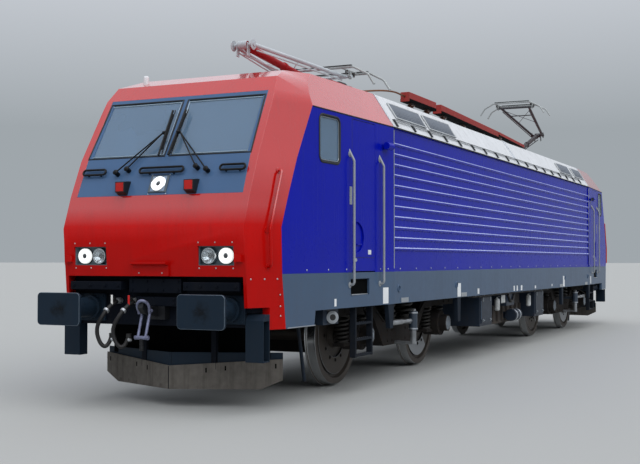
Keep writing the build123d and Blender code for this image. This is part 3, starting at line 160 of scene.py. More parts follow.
# Cab noses
# Red front panels with the slanted corner panels, pressed and welded from 4 mm steel sheet and
# sprayed with gloss two-pack enamel. Their corners are rounded. They carry a step and two lugs.
def finish(name, colour, roughness, metallic=0.0, grain=0.0, grain_size=0.02, mottle=0.12, mottle_size=0.6):
    """A material: a base colour that drifts in cloudy patches, with a fine surface grain."""
    material = bpy.data.materials.new(name)
    material.use_nodes = True
    tree = material.node_tree
    place = add(tree, "TexCoord").outputs["Object"]
    # Most of a noise's values lie between these two
    noise_low, noise_high = 0.3, 0.7
    cloud = add(tree, "TexNoise", {"Vector": place, "Scale": 1.0 / mottle_size, "Detail": 4.0}).outputs[0]
    drift = add(tree, "MapRange", {"Value": cloud, "From Min": noise_low, "From Max": noise_high,
                                   "To Min": 1.0 - mottle, "To Max": 1.0 + mottle})
    wear = add(tree, "MapRange", {"Value": cloud, "From Min": noise_low, "From Max": noise_high,
                                  "To Min": roughness * 0.9, "To Max": min(1.0, roughness * 1.15)})
    tint = add(tree, "Mix", {0: 1.0, 6: linear(colour), 7: drift.outputs[0]}, data_type="RGBA",
               blend_type="MULTIPLY")
    tune(material, {"Base Color": tint.outputs[2], "Roughness": wear.outputs[0], "Metallic": metallic})
    if grain:
        bumps = add(tree, "TexNoise", {"Vector": place, "Scale": 1.0 / grain_size, "Detail": 3.0})
        relief = add(tree, "Bump", {"Height": bumps.outputs[0], "Strength": grain, "Distance": 0.002})
        tune(material, {"Normal": relief.outputs[0]})
    return material


def base_colour(material):
    """Output that feeds a material's base colour."""
    return material.node_tree.nodes["Principled BSDF"].inputs["Base Color"].links[0].from_socket


def coach_paint(name, colour, dirt_colour="#5B5048", dirt=0.35, streaks=0.18, roughness=0.25, coat=0.2):
    """Gloss enamel with rain streaks down it and brake dust that thickens towards the rails."""
    material = finish(name, colour, roughness, grain=0.04, grain_size=0.03, mottle=0.05)
    tree = material.node_tree
    place = add(tree, "TexCoord").outputs["Object"]
    # Streaks are about 90 mm wide and 2 m long. Dust lies in patches of about 70 mm, up to dust_top.
    streaks_a_metre = (11.0, 11.0, 0.5)
    patches_a_metre = 14.0
    dust_foot, dust_top = 0.6, 2.2
    stretched = add(tree, "Mapping", {"Vector": place, "Scale": streaks_a_metre}).outputs[0]
    runs = add(tree, "TexNoise", {"Vector": stretched, "Scale": 1.0, "Detail": 6.0, "Roughness": 0.65})
    run_mask = add(tree, "MapRange", {"Value": runs.outputs[0], "From Min": 0.5, "From Max": 0.85,
                                      "To Min": 0.0, "To Max": streaks})
    height = add(tree, "SeparateXYZ", {"Vector": place})
    low = add(tree, "MapRange", {"Value": height.outputs["Z"], "From Min": dust_foot, "From Max": dust_top,
                                 "To Min": dirt, "To Max": 0.0})
    speckle = add(tree, "TexNoise", {"Vector": place, "Scale": patches_a_metre, "Detail": 8.0})
    dust = add(tree, "Math", {0: low.outputs[0], 1: speckle.outputs[0]}, operation="MULTIPLY")
    mask = add(tree, "Math", {0: dust.outputs[0], 1: run_mask.outputs[0]}, operation="ADD", use_clamp=True)
    soiled = add(tree, "Mix", {0: mask.outputs[0], 6: base_colour(material), 7: linear(dirt_colour)},
                 data_type="RGBA")
    dull = add(tree, "MapRange", {"Value": mask.outputs[0], "From Max": 0.5, "To Min": roughness,
                                  "To Max": roughness + 0.4})
    tune(material, {"Base Color": soiled.outputs[2], "Roughness": dull.outputs[0], "Specular IOR Level": 0.08,
                    "Coat Weight": coat, "Coat Roughness": 0.06})
    return material


def clear_selection():
    """Leaves edit mode with nothing selected."""
    if bpy.context.object and bpy.context.object.mode != "OBJECT":
        bpy.ops.object.mode_set(mode="OBJECT")
    bpy.ops.object.select_all(action="DESELECT")


def hold(piece):
    """Selects this piece alone."""
    clear_selection()
    piece.select_set(True)
    bpy.context.view_layer.objects.active = piece


def bake_transform():
    """Moves what is selected to its place for good, so that its own origin is the frame's."""
    bpy.ops.object.transform_apply(location=True, rotation=True, scale=True)


crease_angle = 28


def soften(piece, radius, angle=32):
    """Rounds the sharp edges of a piece and shades it smooth between them."""
    hold(piece)
    if radius:
        edge_round = piece.modifiers.new("edges", "BEVEL")
        edge_round.width = radius
        edge_round.segments = 2
        edge_round.limit_method = "ANGLE"
        edge_round.angle_limit = math.radians(angle)
        edge_round.harden_normals = True
        bpy.ops.object.modifier_apply(modifier="edges")
    bpy.ops.object.shade_smooth_by_angle(angle=math.radians(crease_angle))
    if radius:
        flat_faces = piece.modifiers.new("flat faces", "WEIGHTED_NORMAL")
        flat_faces.weight = 100
        flat_faces.keep_sharp = True
        bpy.ops.object.modifier_apply(modifier="flat faces")
    return piece


def duplicate(piece):
    """Another piece like this one, with a mesh of its own."""
    twin = piece.copy()
    twin.data = piece.data.copy()
    bpy.context.scene.collection.objects.link(twin)
    return twin


def rounded(node, material, radius, big_edges=None, big_radius=0.0):
    """The CAD node's own form with its sharp edges rounded, as sheet, casting or forging has them."""
    source = frame["nodes"][node]
    piece = duplicate(source)
    piece.parent = None
    piece.name = node + "_rounded"
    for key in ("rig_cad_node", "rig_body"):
        del piece[key]
    hold(piece)
    bpy.ops.mesh.customdata_custom_splitnormals_clear()
    bpy.ops.object.mode_set(mode="EDIT")
    bpy.ops.mesh.select_all(action="SELECT")
    bpy.ops.mesh.remove_doubles(threshold=0.0002)
    bpy.ops.mesh.dissolve_limited(angle_limit=math.radians(0.6))
    if big_edges:
        bpy.ops.mesh.select_all(action="DESELECT")
        bpy.ops.object.mode_set(mode="OBJECT")
        for edge in piece.data.edges:
            ends = [piece.data.vertices[n].co for n in edge.vertices]
            edge.select = big_edges(ends[0], ends[1])
        bpy.ops.object.mode_set(mode="EDIT")
        bpy.ops.mesh.select_mode(type="EDGE")
        bpy.ops.mesh.bevel(offset=big_radius, segments=4, affect="EDGES", clamp_overlap=True)
        bpy.ops.mesh.select_mode(type="VERT")
    bpy.ops.object.mode_set(mode="OBJECT")
    soften(piece, radius)
    piece.data.materials.clear()
    piece.data.materials.append(material)
    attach(piece, source["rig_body"])
    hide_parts(node)
    return piece


def disc(name, radius, length, edge=0.002, sides=32):
    """A round piece that stands on the origin along Z with rounded edges."""
    clear_selection()
    bpy.ops.mesh.primitive_cylinder_add(vertices=sides, radius=radius, depth=length,
                                        location=(0, 0, length / 2))
    piece = bpy.context.object
    piece.name = name
    bake_transform()
    return soften(piece, edge, angle=50)


def lathe(name, section, steps=40):
    """A piece turned about Z from its half section, given as (radius, height) points."""
    clear_selection()
    bpy.ops.mesh.primitive_plane_add(size=0.01)
    piece = bpy.context.object
    piece.name = name
    bpy.ops.object.mode_set(mode="EDIT")
    bpy.ops.mesh.select_all(action="SELECT")
    bpy.ops.mesh.merge(type="CENTER")
    bpy.ops.transform.translate(value=(section[0][0], 0, section[0][1]))
    for start, end in zip(section[:-1], section[1:]):
        step = (end[0] - start[0], 0, end[1] - start[1])
        bpy.ops.mesh.extrude_region_move(TRANSFORM_OT_translate={"value": step})
    bpy.ops.mesh.select_all(action="SELECT")
    bpy.ops.mesh.spin(steps=steps, angle=2 * math.pi, center=(0, 0, 0), axis=(0, 0, 1))
    bpy.ops.mesh.select_all(action="SELECT")
    bpy.ops.mesh.remove_doubles(threshold=0.00005)
    bpy.ops.mesh.normals_make_consistent(inside=False)
    bpy.ops.object.mode_set(mode="OBJECT")
    return soften(piece, 0)


def join(pieces, name):
    """Joins pieces into one, with its origin in the middle of the frame."""
    clear_selection()
    for piece in pieces:
        piece.select_set(True)
    bpy.context.view_layer.objects.active = pieces[0]
    if len(pieces) > 1:
        bpy.ops.object.join()
    bake_transform()
    bpy.context.object.name = name
    return bpy.context.object


def copies(piece, places):
    """Copies a piece to each place, every copy with a mesh of its own, and joins them."""
    made = []
    for place in places:
        twin = duplicate(piece)
        twin.matrix_world = place
        made.append(twin)
    name = piece.name
    bpy.data.objects.remove(piece)
    return join(made, name)


def mirror(piece):
    """Moves a piece to the other side of the locomotive, as its mirror image."""
    piece.scale.y = -1
    hold(piece)
    bake_transform()
    bpy.ops.object.mode_set(mode="EDIT")
    bpy.ops.mesh.select_all(action="SELECT")
    bpy.ops.mesh.normals_make_consistent(inside=False)
    bpy.ops.object.mode_set(mode="OBJECT")


def other_side(piece):
    """Adds the same piece on the other side of the locomotive."""
    twin = duplicate(piece)
    mirror(twin)
    return join([piece, twin], piece.name)


no_turn = Matrix.Identity(4)
half_turn = Matrix.Rotation(math.pi, 4, "Z")


def other_end(piece):
    """Adds the same piece, turned by half a turn, at the other end."""
    return copies(piece, [no_turn, half_turn])


def done(piece, material, body="carbody"):
    """Finishes a piece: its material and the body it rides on."""
    piece.data.materials.clear()
    piece.data.materials.append(material)
    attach(piece, body)
    return piece


def put(piece, material, places=None, sides=True, ends=True):
    """Finishes a piece of the body at each of its places, on both sides and at both ends."""
    if places:
        piece = copies(piece, places)
    if sides:
        piece = other_side(piece)
    if ends:
        piece = other_end(piece)
    return done(piece, material)


ahead = Vector((1, 0, 0))


def at(x, y, height):
    """Point of the frame from a height above the rail head."""
    return Vector((x, y, height + rail_top))


def facing(point, normal):
    """Place that sets a piece's Z along a normal."""
    return Matrix.Translation(point) @ Vector(normal).to_track_quat("Z", "Y").to_matrix().to_4x4()


# Levels of the cab front: height above the rail head, X of the front, half width, X of the crease
cab_levels = [
    (1.388, 9.339, 1.138, 8.924),
    (1.902, 9.385, 1.136, 8.942),
    (2.252, 9.261, 1.137, 8.795),
    (2.665, 9.081, 1.136, 8.606),
    (3.255, 8.733, 1.112, 8.270),
    (3.394, 8.651, 1.100, 8.175),
]
body_half_width = 1.475
joint_x = 6.114
side_taper = 0.0504


def side_y(x):
    """Half width of the body at X: it narrows from the joint between machine room and cab."""
    return body_half_width - max(0.0, x - joint_x) * side_taper


def cab_level(height):
    """Front X, half width and crease X at a height, and how much the front leans there."""
    for low, high in zip(cab_levels[:-1], cab_levels[1:]):
        if height <= high[0]:
            break
    share = (height - low[0]) / (high[0] - low[0])
    slope = (high[1] - low[1]) / (high[0] - low[0])
    return [low[n] + share * (high[n] - low[n]) for n in (1, 2, 3)], slope


def on_front(y, height, out=0.0):
    """Place on the front panel, Z outwards."""
    (front, half, crease), slope = cab_level(height)
    normal = Vector((1, 0, -slope)).normalized()
    return facing(at(front, y, height) + normal * out, normal)


def on_corner(share, height):
    """Place on the left slanted corner panel, Z outwards: share 0 is its front edge, 1 the crease."""
    (front, half, crease), slope = cab_level(height)
    start, end = Vector((front, half, 0)), Vector((crease, side_y(crease), 0))
    along = end - start
    normal = Vector((along.y, -along.x, 0)).normalized()
    normal = Vector((normal.x, normal.y, -slope * normal.x)).normalized()
    point = start + along * share
    return facing(at(point.x, point.y, height), normal)


def screw(name, radius):
    """Round-headed screw with a socket."""
    return lathe(name, [(0.0, radius * 0.25), (radius * 0.4, radius * 0.25), (radius * 0.4, radius * 0.6),
                        (radius * 0.75, radius * 0.55), (radius, radius * 0.25), (radius, 0.0)], steps=14)


# Two-pack enamel: a deep even red under a clear coat that mirrors the sky as a pale sheen. Stone dust
# from the track has dulled the clear coat below the bend of the nose.
red_enamel = coach_paint("red two-pack enamel", "#B20906", dirt_colour="#3A100C", dirt=0.25)
red_tree = red_enamel.node_tree
red_height = add(red_tree, "SeparateXYZ", {"Vector": add(red_tree, "TexCoord").outputs["Object"]})
bend_low, bend_high = 1.95, 2.15
red_gloss = add(red_tree, "MapRange",
                {"Value": red_height.outputs["Z"], "From Min": bend_low, "From Max": bend_high,
                 "To Min": 0.05, "To Max": 1.0})
tune(red_enamel, {"Coat IOR": 1.8, "Coat Weight": red_gloss.outputs[0]})
rounded("cab_noses", red_enamel, 0.004)
# Zinc plate: small bright points, and an even grey where it is dulled
zinc = finish("zinc-plated steel", "#B9BEC4", 0.35, metallic=0.85, grain=0.1, grain_size=0.004,
              mottle_size=0.05)
dull_zinc = finish("dulled zinc plate", "#6F767C", 0.5, metallic=0.5, grain=0.2, grain_size=0.01)
screw_places = [on_front(y, height) for y in (0.586, 0.787, 0.990) for height in (1.474, 1.740)]
screw_places += [facing(at(9.371, 0.145, 1.423), ahead)]
put(screw("nose_screws", 0.008), zinc, screw_places)
corner_places = [on_corner(share, 1.363) for share in (0.12, 0.50, 0.86)]
corner_places += [on_corner(0.93, height) for height in (1.200, 1.080, 0.980)]
put(screw("corner_screws", 0.009), zinc, corner_places)
rounded("nose_rails", red_enamel, 0.0)
foot_places = [on_corner(0.6, height) for height in (1.490, 1.870, 2.500)]
put(disc("rail_feet", 0.034, 0.007), red_enamel, foot_places)


# Screen frames and panes
# Blue-grey painted frame that carries two glued panes of laminated glass, 20 mm thick and tinted,
# and the pane in each cab side. A rubber seal with a pale printed band runs round every pane.
def paint(node, material):
    """Gives a CAD node its finish."""
    for place in frame["nodes"][node].material_slots:
        place.material = material


def tube(name, points, radius, soft=False, closed=False):
    """A round bar bent along a line of points, with soft bends or straight runs."""
    clear_selection()
    line = bpy.data.curves.new(name, "CURVE")
    line.dimensions = "3D"
    line.bevel_depth = radius
    line.bevel_resolution = 3
    line.use_fill_caps = True
    run = line.splines.new("BEZIER")
    run.bezier_points.add(len(points) - 1)
    for knot, point in zip(run.bezier_points, points):
        knot.co = point
        knot.handle_left_type = "AUTO" if soft else "VECTOR"
        knot.handle_right_type = "AUTO" if soft else "VECTOR"
    run.use_cyclic_u = closed
    run.resolution_u = 8 if soft else 2
    piece = bpy.data.objects.new(name, line)
    bpy.context.scene.collection.objects.link(piece)
    hold(piece)
    bpy.ops.object.convert(target="MESH")
    piece = bpy.context.object
    bpy.ops.object.shade_smooth_by_angle(angle=math.radians(50))
    return piece


# The same enamel in blue-grey, kept clean by the wipers' water
screen_enamel = coach_paint("blue-grey enamel", "#456184", dirt=0.0, streaks=0.08, roughness=0.3)
rounded("screen_frames", screen_enamel, 0.004)
# Float glass about a tinted film: smooth, see-through and faintly blue
laminated = finish("laminated tinted glass", "#86A6C4", 0.03, mottle=0.04, mottle_size=1.5)
tune(laminated, {"Transmission Weight": 0.62, "IOR": 1.5})
paint("cab_windows", laminated)
# Rubber that takes no highlight, and a flat pale print along the glass
seal_rubber = finish("EPDM seal rubber", "#17191B", 0.65, grain=0.2, grain_size=0.006)
seal_band = finish("printed glass edge band", "#9DB0BD", 0.25, mottle=0.05)
pane_low, pane_knee, pane_high = 2.685, 3.255, 3.345
pane_inner, pane_outer_low, pane_outer_high = 0.030, 1.040, 1.004


def front_point(y, height, out):
    """Point on the front panel."""
    return on_front(y, height, out).translation


def pane_line(inset, out):
    """Corners of the left windscreen pane, set in from its edge."""
    low, high = pane_low + inset, pane_high - inset
    spread = (pane_outer_high - pane_outer_low) / (pane_high - pane_low)
    outer_knee = pane_outer_low + spread * (pane_knee - pane_low)
    corners = [(pane_inner + inset, low), (pane_inner + inset, pane_knee), (pane_inner + inset, high),
               (pane_outer_high - inset, high), (outer_knee - inset, pane_knee),
               (pane_outer_low - inset, low)]
    return [front_point(y, height, out) for y, height in corners]


put(tube("screen_seals", pane_line(0.0, -0.002), 0.011, closed=True), seal_rubber)
put(tube("screen_bands", pane_line(0.022, -0.006), 0.006, closed=True), seal_band)


# Headlights, marker lamps and lamp clusters
# Each cluster has a lit ring lamp outside and a chromed reflector inside, behind clear glass in a
# dark moulded tray. The headlight sits in a square bezel, a red-glass marker lamp on either side.
def recoat(piece, material, test):
    """Gives another finish to the faces that pass a test: of the middle's X, Y, height, and the normal."""
    piece.data.materials.append(material)
    for face in piece.data.polygons:
        if test(face.center.x, face.center.y, face.center.z - rail_top, face.normal):
            face.material_index = len(piece.data.materials) - 1


def cube(name, size):
    """A sharp block of this size about the origin."""
    clear_selection()
    bpy.ops.mesh.primitive_cube_add(size=1)
    piece = bpy.context.object
    piece.name = name
    piece.scale = size
    bpy.ops.object.transform_apply(location=False, rotation=False, scale=True)
    return piece


def block(name, size, radius=0.003):
    """A block of this size about the origin with rounded edges."""
    return soften(cube(name, size), radius)


# Moulded plastic with a spark-eroded texture: a soft sheen and no mirror
black = finish("black moulded plastic", "#0A0B0C", 0.45, grain=0.15, grain_size=0.006)
tray_plastic = finish("grey moulded tray", "#4B575F", 0.5, grain=0.15, grain_size=0.006)
housings = rounded("lamp_housings", tray_plastic, 0.002)
recoat(housings, black, lambda x, y, height, normal: 0.30 < abs(y) < 0.60 and 2.20 < height < 2.50)
# A clean mirror in the bowls, an even white ring without a hot spot, and clear and red glass
chrome = finish("vacuum-plated reflector", "#D6DADD", 0.08, metallic=1.0, mottle=0.03)
lit_ring = finish("lit frosted ring", "#F2F4F2", 0.3, mottle=0.03, mottle_size=0.04)
tune(lit_ring, {"Emission Color": linear("#F4F7F5"), "Emission Strength": 0.75})
lamp_dark = finish("dark lens glass", "#3A3F44", 0.12, mottle=0.1, mottle_size=0.05)
lens_glass = finish("clear lamp glass", "#E9EEF0", 0.04, mottle=0.03)
tune(lens_glass, {"Transmission Weight": 0.9})
red_glass = finish("red lamp glass", "#B3120C", 0.12, grain=0.5, grain_size=0.006)
face_enamel = finish("pale blue-grey enamel", "#7C90A6", 0.35, grain=0.05, grain_size=0.01)
outer_lamps, inner_lamps = (0.890, -0.890), (0.690, -0.690)
headlight_height = 2.367


def lamp_places(lamps, out):
    """Places of these lamps of the clusters, Z forwards."""
    return [facing(at(9.345 + out, y, 1.603), ahead) for y in lamps]


ring_places = lamp_places(outer_lamps, -0.014) + [on_front(0.0, headlight_height, 0.026)]
ring_lamp = lathe("ring_lamps", [(0.028, -0.012), (0.030, 0.004), (0.040, 0.010), (0.073, 0.010),
                                 (0.082, 0.0), (0.082, -0.030), (0.028, -0.030), (0.028, -0.012)])
put(ring_lamp, lit_ring, ring_places, sides=False)
ring_eye = lathe("ring_lamp_eyes", [(0.0, 0.006), (0.014, 0.004), (0.026, -0.004), (0.028, -0.014),
                                    (0.0, -0.014)])
put(ring_eye, lamp_dark, ring_places, sides=False)
bezel = lathe("lamp_bezels", [(0.074, -0.050), (0.074, 0.0), (0.077, 0.006), (0.083, 0.006), (0.086, 0.0),
                              (0.086, -0.050), (0.074, -0.050)])
put(bezel, chrome, lamp_places(inner_lamps, -0.012), sides=False)
bowl = lathe("reflector_bowls", [(0.0, -0.046), (0.016, -0.045), (0.034, -0.036), (0.054, -0.020),
                                 (0.070, 0.0), (0.074, 0.0), (0.058, -0.024), (0.036, -0.042),
                                 (0.016, -0.051), (0.0, -0.052)])
put(bowl, chrome, lamp_places(inner_lamps, -0.012), sides=False)
bulb = lathe("lamp_bulbs", [(0.0, 0.010), (0.006, 0.008), (0.009, 0.0), (0.009, -0.014), (0.012, -0.016),
                            (0.012, -0.038), (0.0, -0.038)], steps=20)
put(bulb, lamp_dark, lamp_places(inner_lamps, -0.020), sides=False)
cover = lathe("lamp_covers", [(0.0, 0.006), (0.040, 0.004), (0.074, -0.002), (0.074, -0.005), (0.040, 0.001),
                              (0.0, 0.003)])
covers = put(cover, lens_glass, lamp_places(inner_lamps, -0.010), sides=False)
head_ring = lathe("headlight_rims", [(0.082, -0.022), (0.082, 0.002), (0.086, 0.006), (0.092, 0.002),
                                     (0.094, -0.022), (0.082, -0.022)])
put(head_ring, chrome, [on_front(0.0, headlight_height, 0.024)], sides=False)
head_plate = block("headlight_plates", (0.26, 0.25, 0.006), 0.002)
put(head_plate, screen_enamel, [on_front(0.0, headlight_height, 0.001)], sides=False)
head_face = block("headlight_faces", (0.178, 0.178, 0.010), 0.004)
put(head_face, face_enamel, [on_front(0.0, headlight_height, 0.016)], sides=False)
plate_screws = [on_front(y, height, 0.004) for y in (-0.112, 0.112) for height in (2.262, 2.472)]
put(screw("headlight_screws", 0.007), zinc, plate_screws, sides=False)
marker_face = 9.318
lens_places, back_places = [[facing(at(marker_face + out, y, 2.346), ahead) for y in (-0.435, 0.435)]
                            for out in (0.006, 0.001)]
marker_lens = block("marker_lenses", (0.100, 0.096, 0.010), 0.004)
put(marker_lens, red_glass, lens_places, sides=False)
rim_corners = [(-0.054, -0.054, 0), (-0.054, 0.054, 0), (0.054, 0.054, 0), (0.054, -0.054, 0)]
put(tube("marker_rims", rim_corners, 0.005, closed=True), black, lens_places, sides=False)
lamp_back = lathe("lamp_backs", [(0.0, -0.060), (0.086, -0.060), (0.086, -0.050), (0.0, -0.050)])
put(lamp_back, black, lamp_places(outer_lamps + inner_lamps, 0.0), sides=False)
marker_back = block("marker_lens_backs", (0.106, 0.106, 0.004), 0.001)
put(marker_back, black, back_places, sides=False)
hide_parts("lamp_lenses")

# Windscreen wipers and loops under the windscreens
# Black painted arms, two to a blade, with a rubber blade clamped in a steel back, on hubs that
# stand on the screen frame. The oblong loops are grips for cleaning the glass.
# Stoved enamel: black with a faint light along its edges
wiper_paint = finish("black stoved enamel", "#07080A", 0.4, grain=0.1, grain_size=0.01)
tune(wiper_paint, {"Specular IOR Level": 0.2})
paint("wipers", wiper_paint)
blade_low, blade_high = front_point(0.062, 2.700, 0.016), front_point(0.085, 3.215, 0.016)
blade_line = [blade_low, (blade_low + blade_high) / 2 + ahead * 0.012, blade_high]
put(tube("wiper_blades", blade_line, 0.006, soft=True), seal_rubber)
back_line = [blade_low.lerp(blade_high, share) + ahead * 0.020 for share in (0.10, 0.5, 0.90)]
put(tube("wiper_backs", back_line, 0.012, soft=True), wiper_paint)
hub_cap = lathe("wiper_hub_caps", [(0.0, 0.020), (0.014, 0.018), (0.022, 0.008), (0.030, 0.004),
                                   (0.030, 0.0)], 24)
put(hub_cap, wiper_paint, [on_front(0.575, 2.495, 0.060), on_front(0.440, 2.530, 0.060)])
rounded("nose_loops", wiper_paint, 0.0)


# Cab sides and doors
# Deep blue enamel on flat sheet. The doors hang on their rear edge with a rubber seal round them,
# a half-round handle pocket, and a small bare plate. The side windows have a black rubber seal.
def on_side(x, height, out=0.0):
    """Place on the left side, Z outwards."""
    normal = Vector((side_taper if x > joint_x else 0.0, 1, 0)).normalized()
    return facing(at(x, side_y(x), height) + normal * out, normal)


blue_look = {"dirt_colour": "#242C48", "dirt": 0.2, "streaks": 0.12, "coat": 0.03}
# Enamel: a saturated blue with little gloss, dusty towards the rails
blue_enamel = coach_paint("deep blue two-pack enamel", "#04129C", **blue_look)
rounded("cab_sides", blue_enamel, 0.003)
rounded("rear_cameras", blue_enamel, 0.004)
for door in ("door_1_left", "door_1_right", "door_2_left", "door_2_right"):
    rounded(door, blue_enamel, 0.002)
pod_x = joint_x + 0.290
pod_eye = lathe("rear_camera_eyes", [(0.0, 0.002), (0.024, 0.001), (0.030, 0.004), (0.036, 0.004),
                                     (0.038, 0.0)], 28)
put(pod_eye, lamp_dark, [facing(at(pod_x - 0.086, side_y(pod_x) + 0.061, 2.978), -ahead)])
window_x = (joint_x + 1.506, joint_x + 1.996)
window_z = (2.660, 3.185)
window_corner = 0.070


def window_line(inset, out):
    """Rounded outline of the left side window, set in from its edge."""
    points = []
    radius = window_corner - inset
    x0, x1 = window_x[0] + inset + radius, window_x[1] - inset - radius
    z0, z1 = window_z[0] + inset + radius, window_z[1] - inset - radius
    for x, z, start in ((x1, z1, 0), (x0, z1, 90), (x0, z0, 180), (x1, z0, 270)):
        for step in range(5):
            angle = math.radians(start + step * 22.5)
            place = on_side(x + radius * math.cos(angle), z + radius * math.sin(angle), out)
            points.append(place.translation)
    return points


# Anodised aluminium: a thin soft grey line
grey_rim = finish("grey anodised aluminium", "#8C9296", 0.35, metallic=0.8, grain=0.08, grain_size=0.004)
put(tube("window_seals", window_line(-0.004, -0.002), 0.013, closed=True), seal_rubber)
put(tube("window_rims", window_line(0.020, -0.006), 0.006, closed=True), grey_rim)
door_x = (joint_x + 0.566, joint_x + 1.186)
door_z = (1.430, 3.215)
seam = [on_side(x, z, -0.004).translation for x, z in ((door_x[0], door_z[0]), (door_x[0], door_z[1]),
                                                       (door_x[1], door_z[1]), (door_x[1], door_z[0]))]
put(tube("door_seals", seam, 0.004, closed=True), seal_rubber)


def on_doors(piece, name, material):
    """Puts a piece that was built for the left door of cab 1 on each of the four doors."""
    for door, turn, on_right in (("door_1_left", no_turn, False), ("door_1_right", no_turn, True),
                                 ("door_2_right", half_turn, False), ("door_2_left", half_turn, True)):
        twin = duplicate(piece)
        if on_right:
            mirror(twin)
        twin = copies(twin, [turn])
        twin.name = name + "_" + door
        done(twin, material, door)
    bpy.data.objects.remove(piece)


# Enamel baked on steel: clean flat white
white_enamel = finish("white vitreous enamel", "#D9DCDE", 0.3, grain=0.05, grain_size=0.01)
plate = copies(block("door_plate", (0.085, 0.055, 0.002), 0.0006), [on_side(6.833, 1.655, 0.001)])
on_doors(plate, "plate", white_enamel)
lock = lathe("door_lock", [(0.0, 0.003), (0.006, 0.003), (0.007, 0.006), (0.019, 0.006), (0.022, 0.0)], 24)
on_doors(copies(lock, [on_side(7.205, 1.560)]), "lock", zinc)
band_ends = [on_side(x, 1.590, 0.001).translation for x in (door_x[0] + 0.02, door_x[1] - 0.02)]
on_doors(tube("door_band", band_ends, 0.0025), "band", seal_rubber)
# Enamel on steel tube, rubbed smooth by hands: an even light grey
rail_paint = finish("light grey enamel", "#8B9094", 0.35, grain=0.05, grain_size=0.01)
grey_plate = block("side_plates", (0.066, 0.210, 0.004), 0.001)
put(grey_plate, rail_paint, [on_side(7.340, 2.315, 0.002)])
rounded("handrails", rail_paint, 0.0)
flange_places = [on_side(x, height) for x in (door_x[0] - 0.136, door_x[1] + 0.067)
                 for height in (1.270, 2.800)]
put(disc("handrail_flanges", 0.036, 0.006), rail_paint, flange_places)

# Machine room sides
# Corrugated steel sheet under the same blue enamel, a bright cover strip over the welded joint to
# the cab, a black rain gutter along its top edge and small screws along its foot.
ribbed_enamel = coach_paint("blue enamel on ribbed sheet", "#04129C", **blue_look)
# Painted highlight: pale blue on the upward flanks draws each rib as a light line, where the bright sky would
# shine on them
rib_tree = ribbed_enamel.node_tree
flank = add(rib_tree, "SeparateXYZ", {"Vector": add(rib_tree, "NewGeometry").outputs["Normal"]})
rib_highlight_mask = add(rib_tree, "MapRange", {"Value": flank.outputs["Z"], "From Min": 0.30, "From Max": 0.62,
                                   "To Min": 0.0, "To Max": 0.95})
painted_rib_highlights = add(rib_tree, "Mix", {0: rib_highlight_mask.outputs[0], 6: base_colour(ribbed_enamel), 7: linear("#BCC8EE")},
             data_type="RGBA")
tune(ribbed_enamel, {"Base Color": painted_rib_highlights.outputs[2]})
paint("side_panels", ribbed_enamel)
# Brushed steel: a bright line with a fine grain
strip_steel = finish("brushed cover strip", "#A9AEB4", 0.3, metallic=0.85, grain=0.1, grain_size=0.003)
joint_strip = block("joint_strips", (0.022, 1.760, 0.004), 0.0012)
put(joint_strip, strip_steel, [on_side(joint_x - 0.001, 2.335, 0.001)])
gutter_height = 3.252
gutter_ends = [at(x, body_half_width + 0.003, gutter_height) for x in (-joint_x, joint_x)]
put(tube("rain_gutters", gutter_ends, 0.010), seal_rubber, ends=False)
cab_gutter_ends = [on_side(x, gutter_height, 0.002).translation for x in (joint_x, 8.262)]
put(tube("cab_gutters", cab_gutter_ends, 0.007), seal_rubber)
foot_height, foot_pitch = 1.450, 0.59
cab_foot = [on_side(x, foot_height) for x in (6.30, 6.52, 7.45, 7.9, 8.4)]
room_foot = [on_side(-5.9 + foot_pitch * n, foot_height) for n in range(21)]
put(screw("side_screws", 0.010), zinc, room_foot + cab_foot, ends=False)
put(screw("tail_screws", 0.010), zinc, [half_turn @ place for place in cab_foot], ends=False)


# Sills and skirts
# Slate enamel on the heavy band that carries the body, jacking pads along it, a bright wear strip
# under the cab skirt, step holes with a tread plate, and small blank plates of white enamel.
def stand(x, y, height):
    """Upright place at a point of the frame."""
    return Matrix.Translation(at(x, y, height))


# Enamel: dull slate under brake dust, and darker on the hangers below
slate_enamel = coach_paint("slate enamel", "#3F5670", dirt=0.3, streaks=0.12, roughness=0.35)
hanger_paint = coach_paint("dark blue-grey hanger paint", "#141F2C", dirt_colour="#33302C", dirt=0.3,
                           roughness=0.5, coat=0.0)
sill_bands = rounded("sills", slate_enamel, 0.004)
recoat(sill_bands, hanger_paint, lambda x, y, height, normal: height < 0.970)


def skirt_corner(a, b):
    """Edges across the sheet at the rear end of a skirt, where it meets the sill band."""
    level = abs(a.x - b.x) < 0.01 and abs(a.z - b.z) < 0.01
    return level and 0.8 < a.z < 1.1 and 6.2 < abs(a.x) < 8.4


rounded("cab_skirts", slate_enamel, 0.004, skirt_corner, 0.055)
# Blank plates on the sill: X, height, width, depth
plate_table = [(7.730, 1.077, 0.050, 0.085), (6.371, 1.119, 0.160, 0.200), (3.471, 1.118, 0.160, 0.200),
               (2.500, 1.075, 0.090, 0.085), (0.380, 1.070, 0.070, 0.090), (0.180, 1.070, 0.070, 0.090),
               (-0.120, 1.070, 0.100, 0.090), (-1.120, 1.063, 0.090, 0.055), (-2.460, 1.070, 0.080, 0.045),
               (-3.510, 1.130, 0.150, 0.220), (-6.340, 1.112, 0.150, 0.170)]
plates = []
for x, height, width, tall in plate_table:
    place = on_side(x, height, 0.001) if x > -joint_x else half_turn @ on_side(-x, height, 0.001)
    plates.append(copies(block("sill_plate", (width, tall, 0.002), 0.0006), [place]))
put(join(plates, "sill_plates"), white_enamel, ends=False)
pad_places = [on_side(x, 1.045, 0.004) for x in (5.75, 3.25, -3.25, -5.75)]
put(block("jacking_pads", (0.26, 0.060, 0.010), 0.002), strip_steel, pad_places, ends=False)
lip_ends = [on_side(x, 0.846, 0.001).translation for x in (8.215, 8.820)]
put(tube("skirt_lips", lip_ends, 0.006), strip_steel)
hole_x = (door_x[0] + 0.160, door_x[1] + 0.040)
